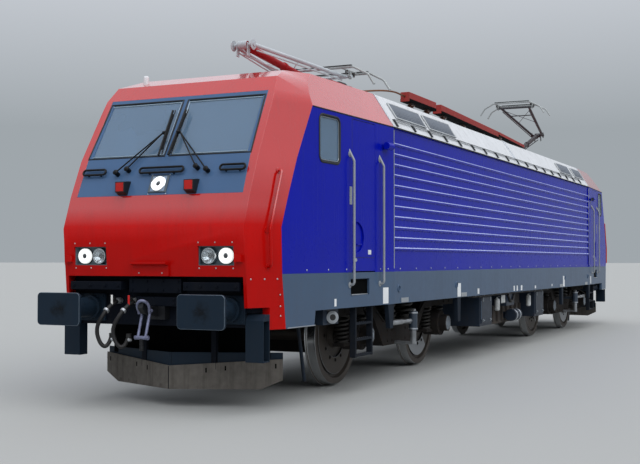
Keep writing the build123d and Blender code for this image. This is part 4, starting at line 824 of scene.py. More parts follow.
hole_middle, hole_width = sum(hole_x) / 2, hole_x[1] - hole_x[0]
step_tread = block("step_treads", (hole_width - 0.02, 0.050, 0.012), 0.003)
put(step_tread, strip_steel, [stand(hole_middle, side_y(7.09) - 0.026, 1.154)])
# Painted shade: near-black matt paint that gives nothing back, put where shade falls: the backs of the step
# holes, the plough slots, the sheet under the cab floor, and the undersides and feet of the roof boxes
painted_shade_black = finish("painted shade black", "#030405", 0.9, grain=0.1)
tune(painted_shade_black, {"Specular IOR Level": 0.05})
# Painted shade: a near-black plate at the back of each step hole stands for the shade in it
step_shade_plate = block("step_hole_shades", (hole_width - 0.004, 0.188, 0.002), 0.0005)
put(step_shade_plate, painted_shade_black, [on_side(hole_middle, 1.240, -0.028)])
lift_ring = lathe("lifting_bushes", [(0.030, 0.010), (0.036, 0.014), (0.048, 0.012), (0.055, 0.0),
                                     (0.030, 0.0), (0.030, 0.010)], 28)
lift_places = [on_side(x, 1.200) for x in (5.95, 3.60, -3.60, -5.95)]
put(lift_ring, slate_enamel, lift_places, ends=False)


# Buffer beams, buffers, corner steps and draw gear
# Blue-black welded beams with bolted cover plates, cast buffer cases with pressed plates, a forged
# hook with its screw coupling hung up, and rubber hoses with red and white cock handles.
def bolt(name, radius, head):
    """Hexagon bolt on its washer."""
    washer = disc(name + "_washer", radius * 1.75, head * 0.25, edge=head * 0.08, sides=20)
    nut = disc(name, radius, head, edge=head * 0.15, sides=6)
    return join([nut, washer], name)


# Enamel: blue-black and flat with grime
beam_enamel = coach_paint("blue-black enamel", "#060D18", dirt_colour="#2A2826", dirt=0.2, roughness=0.5,
                          coat=0.0)
rounded("buffer_beams", beam_enamel, 0.006)
# Enamel: dark blue-grey, a little glossier than the beam's
buffer_enamel = coach_paint("dark blue-grey enamel", "#162533", dirt_colour="#33302C", dirt=0.2,
                            roughness=0.45, coat=0.05)
buffer_height, buffer_middle = 1.045, 0.875
# Grease lies in a ragged patch in the middle of each plate
grease_tree = buffer_enamel.node_tree
grease_place = add(grease_tree, "TexCoord").outputs["Object"]
spot = add(grease_tree, "SeparateXYZ", {"Vector": grease_place})
beside = add(grease_tree, "Math", {0: spot.outputs["Y"]}, operation="ABSOLUTE")
across = add(grease_tree, "Math", {0: beside.outputs[0], 1: buffer_middle}, operation="SUBTRACT")
upward = add(grease_tree, "Math", {0: spot.outputs["Z"], 1: buffer_height + rail_top}, operation="SUBTRACT")
from_middle = add(grease_tree, "CombineXYZ", {"X": across.outputs[0], "Y": upward.outputs[0]})
distance = add(grease_tree, "VectorMath", {0: from_middle.outputs[0]}, operation="LENGTH")
ragged = add(grease_tree, "TexNoise", {"Vector": grease_place, "Scale": 16.0, "Detail": 5.0})
fray = add(grease_tree, "Math", {0: ragged.outputs[0], 1: 0.22}, operation="MULTIPLY")
patch = add(grease_tree, "Math", {0: distance.outputs["Value"], 1: fray.outputs[0]}, operation="ADD")
grease = add(grease_tree, "MapRange", {"Value": patch.outputs[0], "From Min": 0.13, "From Max": 0.22,
                                       "To Min": 0.75, "To Max": 0.0})
greased = add(grease_tree, "Mix", {0: grease.outputs[0], 6: base_colour(buffer_enamel), 7: linear("#0B0D0F")},
              data_type="RGBA")
tune(buffer_enamel, {"Base Color": greased.outputs[2]})
# Rims rubbed through to the steel: paler and rougher than the enamel
worn_rim = finish("enamel worn to bare steel", "#53606C", 0.45, metallic=0.3, grain=0.2, grain_size=0.01,
                  mottle=0.3, mottle_size=0.1)
buffer_pair = rounded("buffers", buffer_enamel, 0.008)
recoat(buffer_pair, worn_rim, lambda x, y, height, normal: abs(x) > 9.775 and 0.2 < abs(normal.x) < 0.97)
rounded("corner_steps", buffer_enamel, 0.003)
beam_front = 9.170


def on_beam(y, height, out=0.0):
    """Place ahead of the buffer beam, Z forwards."""
    return facing(at(beam_front + out, y, height), ahead)


beam_bolt_places = [on_beam(y, 1.285, 0.180) for y in (0.43, 0.60, 0.80, 1.02)]
beam_bolt_places += [on_beam(y, height, 0.120) for y in (0.10, 0.29) for height in (1.240, 1.335)]
beam_bolt_places += [on_beam(0.22, height, 0.090) for height in (1.095, 1.145)]
put(bolt("beam_bolts", 0.014, 0.012), beam_enamel, beam_bolt_places)
buffer_bolt_places = [on_beam(buffer_middle + y, buffer_height + z, 0.030) for y in (-0.14, 0.14)
                      for z in (-0.12, 0.12)]
put(bolt("buffer_bolts", 0.017, 0.016), buffer_enamel, buffer_bolt_places)
rivet_places = [facing(at(9.790, buffer_middle + y, buffer_height), ahead) for y in (-0.05, 0.0, 0.05)]
rivet = lathe("buffer_rivets", [(0.0, 0.003), (0.007, 0.002), (0.010, 0.0)], 16)
put(rivet, buffer_enamel, rivet_places)
# Forging scale: rough and nearly black. The shackle's paint has a lilac cast.
hook_steel = finish("black forged hook steel", "#17191D", 0.5, metallic=0.4, grain=0.3, grain_size=0.012)
link_steel = finish("lilac-grey shackle paint", "#6B6F88", 0.45, metallic=0.4, grain=0.3, grain_size=0.012,
                    mottle=0.4, mottle_size=0.06)
hooks = rounded("draw_hooks", hook_steel, 0.005)


def on_shackle(x, y, height, normal):
    """Faces of the shackle: its sides beside the hook, and its foot below the hook."""
    return (abs(y) > 0.031 and abs(x) > 9.30) or 0.725 < height < 0.93


recoat(hooks, link_steel, on_shackle)
bow_points = [at(9.455, 0.047, 1.005), at(9.500, 0.060, 1.095), at(9.545, 0.030, 1.135),
              at(9.550, -0.030, 1.115), at(9.500, -0.050, 1.000)]
put(tube("shackle_bows", bow_points, 0.016, soft=True), link_steel, sides=False)
pin_end = lathe("shackle_pin_ends", [(0.0, 0.016), (0.018, 0.016), (0.024, 0.010), (0.024, 0.0),
                                     (0.0, 0.0)], 20)
shackle_x = 9.525
pin_places = [facing(at(shackle_x, y, 0.752), (0, y, 0)) for y in (-0.070, 0.070)]
put(pin_end, link_steel, pin_places, sides=False)
# Hose rubber: black with a faint bloom. Dipped plastic: clean and bright. Cast alloy: pale, grainy.
rubber = finish("black hose rubber", "#0C0C0D", 0.55, grain=0.2, grain_size=0.008)
rounded("brake_hoses", rubber, 0.0)
cock_white = finish("white plastic-dipped handle", "#E4E4E0", 0.4, grain=0.05)
cock_red = finish("red plastic-dipped handle", "#C01A12", 0.4, grain=0.05)
coupling_alloy = finish("cast aluminium coupling", "#A7ABAF", 0.4, metallic=0.8, grain=0.3, grain_size=0.006)
hose_ys = (-0.300, -0.520)
for hose_y, handle_paint, handle_name in zip(hose_ys, (cock_red, cock_white), ("red", "white")):
    handle = block("cock_handles_" + handle_name, (0.010, 0.024, 0.112), 0.004)
    put(handle, handle_paint, [stand(beam_front + 0.165, hose_y, 1.128)], sides=False)
hose_clamp = lathe("hose_clamps", [(0.024, 0.0), (0.033, 0.004), (0.033, 0.026), (0.024, 0.030),
                                   (0.024, 0.0)], 24)
clamp_places = [facing(at(beam_front + 0.205, y - 0.030, 1.033), (0.66, -0.20, -0.72)) for y in hose_ys]
put(hose_clamp, coupling_alloy, clamp_places, sides=False)
glad_hand = lathe("hose_couplings", [(0.0, 0.0), (0.026, 0.0), (0.034, 0.012), (0.034, 0.030), (0.024, 0.042),
                                     (0.024, 0.085), (0.0, 0.085)], 20)
upwards = Vector((0, 0, 1))
hand_places = [facing(at(beam_front + 0.160, y, 0.688), upwards) for y in hose_ys]
put(glad_hand, coupling_alloy, hand_places, sides=False)
cock_body = lathe("hose_cocks", [(0.0, 0.0), (0.030, 0.0), (0.034, 0.010), (0.034, 0.070), (0.026, 0.085),
                                 (0.0, 0.085)], 20)
put(cock_body, coupling_alloy, [on_beam(y, 1.120) for y in hose_ys], sides=False)
thread_top, thread_foot = at(shackle_x, 0, 0.740), at(shackle_x, 0, 0.630)
thread_places = [facing(thread_top.lerp(thread_foot, n / 8), -upwards) for n in range(9)]
thread = disc("coupling_threads", 0.024, 0.012, edge=0.005, sides=20)
put(thread, hook_steel, thread_places, sides=False)

# Snowploughs and ladders
# Welded 8 mm plate in a grey primer that stones have scoured, with a bolted wear edge along the
# foot. The ladders under the doors have studded treads.
# Primer scoured by stones: mid grey, streaked and flat
plough_paint = coach_paint("scoured grey primer", "#6B6762", dirt_colour="#26231F", dirt=0.5, streaks=0.5,
                           roughness=0.6, coat=0.0)
ploughs = rounded("snowploughs", plough_paint, 0.003)
recoat(ploughs, beam_enamel, lambda x, y, height, normal: height > 0.500)
plough_root, plough_tip = Vector((9.020, 0, 0)), Vector((8.560, 1.150, 0))
plough_out = Vector((1.150, 0.460, 0)).normalized()


def on_plough(share, height, out=0.0):
    """Place on the left face of the plough, Z outwards: share 0 is the middle, 1 the tip."""
    point = plough_root.lerp(plough_tip, share)
    return facing(at(point.x, point.y, height) + plough_out * out, plough_out)


edge_shares = [0.12 + 0.13 * n for n in range(6)]
edge_places = [on_plough(share, 0.205 + 0.065 * max(0.0, share - 0.80)) for share in edge_shares]
put(bolt("plough_bolts", 0.013, 0.009), plough_paint, edge_places)
# Painted shade: the slots are thin plates of near-black paint that stand for the shade inside them
slot_places = [on_plough(share, height) @ Matrix.Rotation(math.pi / 2, 4, "Z")
               for share, height in ((0.33, 0.372), (0.50, 0.395), (0.94, 0.420))]
put(block("plough_slots", (0.050, 0.016, 0.004), 0.001), painted_shade_black, slot_places)
seam_ends = [at(9.0215, 0.0, height) for height in (0.172, 0.414)]
put(tube("plough_seams", seam_ends, 0.004), beam_enamel, sides=False)
# Blue-black plate that stands behind the plough's upper edge, and a near-black sheet under the cab floor that
# is painted shade behind the plough
upper_plate = block("plough_upper_plates", ((plough_tip - plough_root).length, 0.170, 0.008), 0.002)
put(upper_plate, buffer_enamel, [on_plough(0.5, 0.477, -0.034)])
shade_sheet = block("painted_shade_sheets", (0.008, 2.040, 0.430), 0.002)
put(shade_sheet, painted_shade_black, [stand(8.600, 0, 0.715)], sides=False)
# Step paint: nearly black under a film of dark dust
ladder_paint = coach_paint("dark blue-grey step paint", "#101924", dirt_colour="#33302C", dirt=0.4,
                           roughness=0.5, coat=0.0)
rounded("door_ladders", ladder_paint, 0.002)
stud_pitch, row_pitch = 0.06, 0.03
stud_places = [stand(6.68 + stud_pitch * n, 1.345 + row_pitch * row, height) for n in range(6)
               for row in (-1, 0) for height in (0.4305, 0.6205, 0.8105)]
put(lathe("tread_studs", [(0.0, 0.004), (0.005, 0.004), (0.009, 0.0)], 10), strip_steel,
    stud_places)

# Bogie frames, axleboxes, springs and dampers
# Welded box beams under dark paint and brown brake dust, cast axleboxes with bolted end covers,
# coil springs wound from spring steel, silver hydraulic dampers with clamped dust tubes.
# Paint nearly hidden by brake dust: black above, brown towards the rails
bogie_enamel = coach_paint("bogie paint under brake dust", "#1E2023", dirt_colour="#383029", dirt=0.7,
                           streaks=0.35, roughness=0.6, coat=0.0)
cover_paint = coach_paint("light blue-grey cover paint", "#7E8B97", dirt_colour="#5A4A3A", dirt=0.6,
                          roughness=0.45, coat=0.0)
# Peened steel: dull and finely pitted. Damper tubes: grey metal under a film of dirt.
spring_steel = finish("shot-peened spring steel", "#23211F", 0.55, metallic=0.3, grain=0.3, grain_size=0.01)
damper_steel = finish("damper tube under road dirt", "#8C8F92", 0.4, metallic=0.6, grain=0.2, mottle=0.3,
                      mottle_size=0.15)
upright_paint = finish("dark damper paint", "#2C3846", 0.45, grain=0.2, mottle=0.2)


def on_bogies(piece, material, places=None):
    """Puts a piece at its places on bogie 1, on both of its sides, and the same on bogie 2."""
    if places:
        piece = copies(piece, places)
    piece = other_side(piece)
    for body, turn in (("bogie_1", no_turn), ("bogie_2", half_turn)):
        twin = duplicate(piece)
        twin.matrix_world = turn
        twin = join([twin], piece.name + "_" + body)
        done(twin, material, body)
    bpy.data.objects.remove(piece)


def circle_places(x, y, height, radius, count, first=0.0):
    """Places on a circle that faces left: the first one's angle is given in degrees."""
    turns = [math.radians(first + 360 / count * n) for n in range(count)]
    return [facing(at(x + radius * math.cos(turn), y, height + radius * math.sin(turn)), sideways)
            for turn in turns]


sideways = Vector((0, 1, 0))
bogie_x, axle_offset, beam_y, axle_height = 4.950, 1.500, 1.020, 0.625
damper_x, damper_y = bogie_x + 0.175, 1.360
axle_xs = (bogie_x - axle_offset, bogie_x + axle_offset)
box_face = 1.295
for n in (1, 2):
    rounded(f"bogie_frame_{n}", bogie_enamel, 0.012)
    rounded(f"axleboxes_{n}", bogie_enamel, 0.008)
    rounded(f"traction_motors_{n}", bogie_enamel, 0.02)


def on_dust_tube(x, y, height, normal):
    """Faces of the upright dampers' upper halves."""
    return abs(abs(x) - damper_x) < 0.075 and height > 0.640


for n in (1, 2):
    dampers = rounded(f"bogie_dampers_{n}", damper_steel, 0.004)
    recoat(dampers, upright_paint, on_dust_tube)
cover = lathe("axlebox_covers", [(0.0, 0.010), (0.060, 0.010), (0.066, 0.004), (0.098, 0.004), (0.104, 0.0),
                                 (0.0, 0.0)])
on_bogies(cover, cover_paint, [facing(at(x, box_face, axle_height), sideways) for x in axle_xs])
cover_bolt_places = [place for x in axle_xs
                     for place in circle_places(x, box_face + 0.004, axle_height, 0.084, 6, 30)]
on_bogies(bolt("cover_bolts", 0.010, 0.008), dull_zinc, cover_bolt_places)
ring_bolt_places = [place for x in axle_xs for place in circle_places(x, 1.185, axle_height, 0.155, 8, 22.5)]
on_bogies(bolt("axlebox_bolts", 0.013, 0.011), bogie_enamel, ring_bolt_places)


def coil(name, radius, wire, length, turns):
    """A closed-end coil spring that stands on the origin: a circle carried round by the Screw modifier."""
    clear_selection()
    bpy.ops.mesh.primitive_circle_add(vertices=12, radius=wire, location=(radius, 0, wire),
                                      rotation=(math.pi / 2, 0, 0))
    piece = bpy.context.object
    piece.name = name
    bake_transform()
    winding = piece.modifiers.new("turns", "SCREW")
    winding.axis = "Z"
    winding.screw_offset = (length - 2 * wire) / turns
    winding.iterations = turns
    winding.steps = 24
    winding.use_normal_calculate = True
    bpy.ops.object.modifier_apply(modifier="turns")
    bpy.ops.object.shade_smooth()
    seat = 0.012
    seats = [copies(disc("seat", radius + wire, seat, edge=0.003, sides=28), [Matrix.Translation((0, 0, z))])
             for z in (0.0, length - seat)]
    return join([piece] + seats, name)


primary = coil("primary_springs", 0.074, 0.017, 0.880 - 0.540, 6)
primary_places = [stand(x + offset, beam_y, 0.540) for x in axle_xs for offset in (-0.285, 0.285)]
on_bogies(primary, spring_steel, primary_places)
secondary = coil("secondary_springs", 0.112, 0.023, 1.322 - 0.760, 7)
secondary_places = [stand(bogie_x + offset, beam_y, 0.760) for offset in (-0.330, 0.330)]
on_bogies(secondary, spring_steel, secondary_places)
for n in (1, 2):
    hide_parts(f"bogie_springs_{n}")
clamp = lathe("damper_clamps", [(0.058, 0.0), (0.064, 0.002), (0.064, 0.018), (0.058, 0.020), (0.058, 0.0)],
              28)
on_bogies(clamp, zinc, [stand(damper_x, damper_y, height) for height in (0.625, 0.840)])
damper_eye = lathe("damper_eyes", [(0.012, -0.030), (0.030, -0.030), (0.034, -0.020), (0.034, 0.020),
                                   (0.030, 0.030), (0.012, 0.030), (0.012, -0.030)], 24)
eye_places = [facing(at(damper_x + offset, damper_y, height), sideways)
              for offset, height in ((0, 0.872), (0.895, 0.752))]
on_bogies(damper_eye, damper_steel, eye_places)
pipe_points = [at(bogie_x + x, 1.112, z + 0.05) for x, z in (
    (-1.30, 0.905), (-0.95, 0.905), (-0.62, 0.700), (0.62, 0.700), (0.95, 0.905), (1.30, 0.905))]
on_bogies(tube("bogie_pipes", pipe_points, 0.010), bogie_enamel)
frame_bolt_places = [facing(at(bogie_x + x, 1.100, z), sideways)
                     for x in (-2.10, -1.86, -0.40, -0.20, 0.30, 0.46, 1.86, 2.10)
                     for z in ((0.925, 0.965) if abs(x) > 1 else (0.48, 0.62))]
on_bogies(bolt("frame_bolts", 0.014, 0.012), bogie_enamel, frame_bolt_places)
cable_points = [at(bogie_x + axle_offset + x, y, z) for x, y, z in (
    (0.0, 1.285, 0.70), (0.02, 1.31, 0.76), (-0.05, 1.22, 0.86), (-0.16, 1.13, 0.93))]
on_bogies(tube("speed_sensor_cables", cable_points, 0.009, soft=True), rubber)

# Wheelsets
# Rolled steel wheels with brake discs bolted to the web, the treads and flanges polished by the
# rails and the rest brown with brake dust.
# Brown dust on the web, a bright mirror on the tread, a dull turned shine on the discs
wheel_dust = finish("wheel steel under brake dust", "#403A35", 0.6, metallic=0.35, grain=0.3, mottle=0.25,
                    mottle_size=0.2)
tread_steel = finish("polished tread steel", "#B4B6B8", 0.22, metallic=1.0, grain=0.05, grain_size=0.01)
disc_iron = finish("machined brake disc iron", "#83868A", 0.45, metallic=0.3, grain=0.15, grain_size=0.004)


def on_tread(x, y, height, normal):
    """Faces of the tread and flange of the wheelset at axle_x."""
    return math.hypot(x - axle_x, height - axle_height) > 0.604 and abs(normal.y) < 0.8


def on_brake_disc(x, y, height, normal):
    """Faces of the bolted discs of the wheelset at axle_x."""
    return 0.28 < math.hypot(x - axle_x, height - axle_height) < 0.52 and abs(normal.y) > 0.9


for n, axle_x in ((1, 6.450), (2, 3.450), (3, -3.450), (4, -6.450)):
    wheels = rounded(f"wheelset_{n}", wheel_dust, 0.004)
    recoat(wheels, tread_steel, on_tread)
    recoat(wheels, disc_iron, on_brake_disc)
    disc_bolt_places = circle_places(axle_x, 0.803, axle_height, 0.325, 12)
    disc_bolts = other_side(copies(bolt("disc_bolts", 0.015, 0.014), disc_bolt_places))
    disc_bolts.name = f"disc_bolts_{n}"
    done(disc_bolts, bogie_enamel, f"wheelset_{n}")

# Underfloor
# The oil-filled transformer with its cooling ribs, slate-painted equipment cases with latched
# lids, an air tank and small white-painted boxes, with pipes and cables hung along the sill.
# Case paints: navy and grey with a dusty film, lids and small boxes lighter
case_paint = coach_paint("navy case paint", "#1D2C3D", dirt_colour="#3A342E", dirt=0.5, roughness=0.4)
oil_paint = coach_paint("oil-resistant grey paint", "#3C4146", dirt_colour="#5A4A3A", dirt=0.7, roughness=0.5,
                        coat=0.0)
lid_paint = finish("slate lid paint", "#485C70", 0.4, grain=0.1, grain_size=0.01)
white_case = finish("white equipment enamel", "#A9ACAC", 0.4, grain=0.08, grain_size=0.01, mottle=0.3,
                    mottle_size=0.1)
rounded("transformer", oil_paint, 0.008)
rounded("underfloor_cases", case_paint, 0.010)
rounded("sand_boxes", case_paint, 0.008)
paint("underframe", bogie_enamel)
rounded("king_pins", bogie_enamel, 0.01)
latch_places, hinge_places = [[facing(at(x, 1.388, height), sideways) for x in (1.55, 1.95, -2.02, -1.58)]
                              for height in (0.925, 0.585)]
put(block("case_latches", (0.040, 0.070, 0.014), 0.004), dull_zinc, latch_places, ends=False)
knuckle = copies(disc("knuckle", 0.010, 0.09, edge=0.002, sides=16), [
    Matrix.Translation((-0.045, 0, 0.008)) @ Matrix.Rotation(math.pi / 2, 4, "Y")])
hinge = join([knuckle, block("leaf", (0.07, 0.045, 0.006), 0.002)], "case_hinges")
put(hinge, dull_zinc, hinge_places, ends=False)
drip_edge = tube("case_drip_edges", [at(x, 1.380, 1.000) for x in (1.43, 2.08)], 0.007)
put(drip_edge, dull_zinc, ends=False)
case_lid = block("case_lids", (0.60, 0.300, 0.006), 0.003)
put(case_lid, lid_paint, [facing(at(1.755, 1.382, 0.755), sideways)], ends=False)
flask_xs = (1.00, -1.10)
flask = lathe("air_flasks", [(0.0, 0.0), (0.030, 0.004), (0.045, 0.022), (0.045, 0.190), (0.030, 0.210),
                             (0.014, 0.214), (0.014, 0.236), (0.0, 0.236)], 28)
put(flask, white_case, [stand(x, 1.345, 0.700) for x in flask_xs], ends=False)
flask_hanger = block("flask_hangers", (0.06, 0.26, 0.020), 0.003)
put(flask_hanger, case_paint, [stand(x, 1.250, 0.945) for x in flask_xs], ends=False)
white_lid = block("white_box_lids", (0.235, 0.130, 0.012), 0.004)
put(white_lid, white_case, [facing(at(0.770, 1.385, 0.895), sideways)], ends=False)
pipe_runs = [tube("pipe", [at(-2.55, y, 0.985), at(2.55, y, 0.985)], radius)
             for y, radius in ((1.385, 0.014), (1.350, 0.010), (1.320, 0.010))]
put(join(pipe_runs, "underfloor_pipes"), oil_paint, ends=False)
hose_points = [at(0.10, 1.390, 0.960), at(0.20, 1.400, 0.870), at(0.36, 1.405, 0.850), at(0.52, 1.400, 0.960)]
put(tube("cooling_hoses", hose_points, 0.022, soft=True), rubber, ends=False)
clip_places = [stand(-2.4 + 0.48 * n, 1.352, 0.994) for n in range(11)]
put(block("pipe_clips", (0.03, 0.10, 0.016), 0.003), dull_zinc, clip_places, ends=False)
tank_band = lathe("tank_bands", [(0.108, -0.015), (0.112, -0.013), (0.112, 0.013), (0.108, 0.015),
                                 (0.108, -0.015)], 32)
put(tank_band, zinc, [facing(at(x, 1.290, 0.580), ahead) for x in (-0.36, -0.14)], ends=False)
sand_lid_place = facing(at(7.650, 1.320, 0.905), (1, 1, 0))
sand_lid = lathe("sand_lids", [(0.0, 0.010), (0.052, 0.010), (0.060, 0.004), (0.070, 0.004), (0.074, 0.0),
                               (0.0, 0.0)], 28)
put(sand_lid, rail_paint, [sand_lid_place])
sand_eye = disc("sand_lid_eyes", 0.036, 0.003, edge=0.001)
put(sand_eye, rubber, [sand_lid_place @ Matrix.Translation((0, 0, 0.009))])

# Roof
# Pale grey enamel over welded sheet, greyed by carbon and iron dust along the middle, with bolted
# hatches over the machine room. The cab roofs keep the red. Dark lugs stand along the edge.
# Roof enamel: near white with grey runs. Louvres and lugs are flat and dark, covers smooth.
roof_enamel = coach_paint("pale roof enamel", "#CFD2D5", dirt_colour="#55504A", dirt=0.0, streaks=0.35,
                          roughness=0.4)
grille_frame = finish("white intake frame enamel", "#B4B8BA", 0.4, grain=0.05)
grille_mesh = finish("grey intake louvre paint", "#5C646F", 0.5, grain=0.2, grain_size=0.01)
lug_paint = finish("dark lug paint", "#24282C", 0.5, grain=0.1)
aerial_white = finish("white glass-fibre cover", "#DADCDF", 0.35, grain=0.05)
rounded("roof_shell", roof_enamel, 0.01)
rounded("cab_roofs", red_enamel, 0.004)
roof_top = 3.700
# Roof section: half width, height above the rail head
roof_section = [(1.475, 3.255), (1.385, 3.394), (1.271, 3.570), (1.187, 3.700)]


def on_slope(x, share, step=1, out=0.0):
    """Place on the left roof slope, Z outwards: step picks the flat, share runs up it."""
    low, high = roof_section[step], roof_section[step + 1]
    normal = Vector((0, high[1] - low[1], low[0] - high[0])).normalized()
    point = at(x, low[0] + share * (high[0] - low[0]), low[1] + share * (high[1] - low[1]))
    return facing(point + normal * out, normal)


hatch_edges = []
hatch_bolt_places = []
hatch_half, edge_width, edge_height = 1.12, 0.05, 0.010
edge_level = roof_top + 0.004
bolt_level = roof_top + 0.009
# Hatches over the machine room: X from, X to
for x0, x1 in ((2.15, 3.95), (0.10, 2.05), (-1.95, 0.00), (-3.95, -2.05)):
    middle, length = (x0 + x1) / 2, x1 - x0
    for y in (-hatch_half, hatch_half):
        edge = block("edge", (length, edge_width, edge_height))
        hatch_edges.append(copies(edge, [stand(middle, y, edge_level)]))
        bolt_xs = [x0 + 0.08 + (length - 0.16) * n / 5 for n in range(6)]
        hatch_bolt_places += [facing(at(x, y, bolt_level), upwards) for x in bolt_xs]
    for x in (x0 + edge_width / 2, x1 - edge_width / 2):
        edge = block("edge", (edge_width, 2 * hatch_half + edge_width, edge_height))
        hatch_edges.append(copies(edge, [stand(x, 0, edge_level)]))
done(join(hatch_edges, "roof_hatch_edges"), roof_enamel)
done(copies(bolt("hatch_bolts", 0.012, 0.010), hatch_bolt_places), zinc)
panels = rounded("roof_grilles", grille_mesh, 0.002)
recoat(panels, lug_paint, lambda x, y, height, normal: height < 3.360)
recoat(panels, grille_frame, lambda x, y, height, normal: 3.360 <= height < 3.384)
slats = []
rims = []
# Air intakes on the left slope: X from, X to
for x0, x1 in ((3.340, 4.500), (4.650, 5.800), (-4.800, -3.680), (-6.030, -5.080)):
    for n in range(7):
        slat = block("slat", (x1 - x0 - 0.09, 0.016, 0.006), 0.0015)
        slats.append(copies(slat, [on_slope((x0 + x1) / 2, 0.14 + 0.125 * n, 1, 0.016)]))
    rim_points = [on_slope(x, share, step, 0.014).translation for x, share, step in (
        (x0, 0.07, 1), (x1, 0.07, 1), (x1, 1.0, 1), (x1, 0.29, 2), (x0, 0.29, 2), (x0, 1.0, 1))]
    rims.append(tube("rim", rim_points, 0.011, closed=True))
put(join(slats, "intake_slats"), grille_mesh, sides=False)
put(join(rims, "intake_rims"), grille_frame, sides=False)
roof_strips = []
for x in (joint_x - 0.012, 0.05):
    line = [on_slope(x, share, step, 0.002).translation
            for share, step in ((0.1, 0), (1.0, 0), (1.0, 1), (1.0, 2))]
    roof_strips.append(tube("strip", line, 0.008))
put(join(roof_strips, "roof_joint_strips"), strip_steel)
lug_pitch = 0.6621
lug_places = [on_slope(joint_x - 0.145 - lug_pitch * n, 0.35, 0, 0.030) for n in range(18)]
put(bolt("lug_bolts", 0.006, 0.006), zinc, lug_places, sides=False)
rounded("roof_aerials", aerial_white, 0.0)
roof_plate = block("cab_roof_plates", (0.42, 0.52, 0.010), 0.004)
put(roof_plate, red_enamel, [stand(7.05, 0.0, roof_top + 0.004)], sides=False)

# Conductor boxes and post insulators
# Red painted boxes with bolted joints, on ribbed insulators of brown glazed porcelain with cast
# metal caps, and the bushing and copper bar that lead the current to the forward pantograph.
# Faded red paint, glossy brown glaze, rough zinc, and copper under a brown skin
box_paint = coach_paint("weathered red box paint", "#8E3532", dirt=0.0, streaks=0.4, roughness=0.5, coat=0.0)
porcelain = finish("brown glazed porcelain", "#4A2E22", 0.12, mottle=0.15, mottle_size=0.1)
cast_cap = finish("galvanised cap", "#8F9498", 0.5, metallic=0.7, grain=0.3, grain_size=0.01)
copper = finish("oxidised copper bar", "#6E4A36", 0.45, metallic=0.8, grain=0.2)
red_boxes = rounded("roof_ducts", box_paint, 0.006)
# Painted shade: the undersides of the boxes are near black
recoat(red_boxes, painted_shade_black, lambda x, y, height, normal: normal.z < -0.7)


def insulator(name, x, y, radius, height, sheds):
    """A ribbed post that stands on the roof: sheds are its ribs, between two plain caps."""
    section = [(0.0, 0.0), (radius * 0.62, 0.0)]
    pitch = (height - 0.03) / sheds
    for n in range(sheds):
        base = 0.015 + n * pitch
        section += [(radius * 0.62, base), (radius, base + pitch * 0.30),
                    (radius * 0.98, base + pitch * 0.42), (radius * 0.60, base + pitch * 0.72)]
    section += [(radius * 0.62, height), (0.0, height)]
    return copies(lathe(name, section, 28), [stand(x, y, roof_top)])


mast_posts = [(4.920, 0.500), (4.920, -0.500), (5.890, 0.0)]
posts = join([insulator("post", x, y, 0.074, 0.190, 4) for x, y in mast_posts], "mast_insulators")
posts = put(posts, porcelain, sides=False)
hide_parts("roof_insulators")
# Conductor boxes: X from, X to, top at each end above the rail head, depth
roof_boxes = [(1.890, 3.160, 4.190, 4.190, 0.150), (-1.840, 1.640, 4.110, 4.190, 0.150),
              (-3.830, -1.900, 4.040, 4.110, 0.060)]
box_posts = [2.150, 2.900, 1.350, 0.250, -0.850, -1.600, -2.100, -3.500]
duct_y, duct_half, shade_strip_height = 0.500, 0.075, 0.045
box_stands = []
for x in box_posts:
    for x0, x1, top0, top1, depth in roof_boxes:
        if x0 <= x <= x1:
            under = top0 + (x - x0) / (x1 - x0) * (top1 - top0) - depth
            box_stands.append(insulator("post", x, duct_y, 0.070, under - roof_top + 0.010, 6))
done(join(box_stands, "box_insulators"), porcelain)
# Painted shade: near-black strips along the foot of the sides of the two upper boxes
box_shade_strips = []
for x0, x1, top0, top1, depth in roof_boxes[:2]:
    tilt = Matrix.Rotation(-math.atan2(top1 - top0, x1 - x0), 4, "Y")
    for y in (duct_y - duct_half - 0.002, duct_y + duct_half + 0.002):
        place = stand((x0 + x1) / 2, y, (top0 + top1) / 2 - depth + shade_strip_height / 2) @ tilt
        box_shade_strips.append(copies(block("rail", (x1 - x0 - 0.01, 0.006, shade_strip_height), 0.002), [place]))
done(join(box_shade_strips, "box_shade_strips"), painted_shade_black)
box_bolts = []
for x0, x1, top0, top1, depth in roof_boxes:
    for share in [(n + 0.5) / 6 for n in range(6)]:
        box_bolts.append(facing(at(x0 + share * (x1 - x0), duct_y, top0 + share * (top1 - top0)), upwards))
done(copies(bolt("box_bolts", 0.012, 0.010), box_bolts), zinc)
mast_feet = [stand(x, y, roof_top - 0.002) for x, y in mast_posts]
cap_places = mast_feet + [half_turn @ place for place in mast_feet]
cap_places += [stand(x, duct_y, roof_top - 0.002) for x in box_posts]
done(copies(disc("insulator_feet", 0.085, 0.016, edge=0.004), cap_places), cast_cap)
bar_points = [at(3.15, duct_y, 4.120), at(3.55, 0.42, 4.150), at(4.10, 0.10, 4.090), at(4.62, 0.0, 4.000),
              at(5.12, 0.0, 3.960)]
done(tube("conductor_bars", bar_points, 0.014, soft=True), copper)
done(insulator("bar_insulators", 4.10, 0.10, 0.072, 0.380, 7), porcelain)
far_points = [at(-3.80, duct_y, 4.020), at(-4.10, 0.35, 4.000), at(-4.60, 0.0, 3.985), at(-5.12, 0.0, 3.960)]
done(tube("far_conductor_bars", far_points, 0.014, soft=True), copper)
breaker_section = [(0.0, 0.0), (0.070, 0.0), (0.070, 0.045), (0.045, 0.060)]
for foot in (0.075, 0.135, 0.195, 0.255, 0.315, 0.375):
    breaker_section += [(0.045, foot), (0.075, foot + 0.015), (0.045, foot + 0.035)]
breaker_section += [(0.045, 0.450), (0.070, 0.465), (0.070, 0.510), (0.0, 0.510)]
breaker_y = -0.35
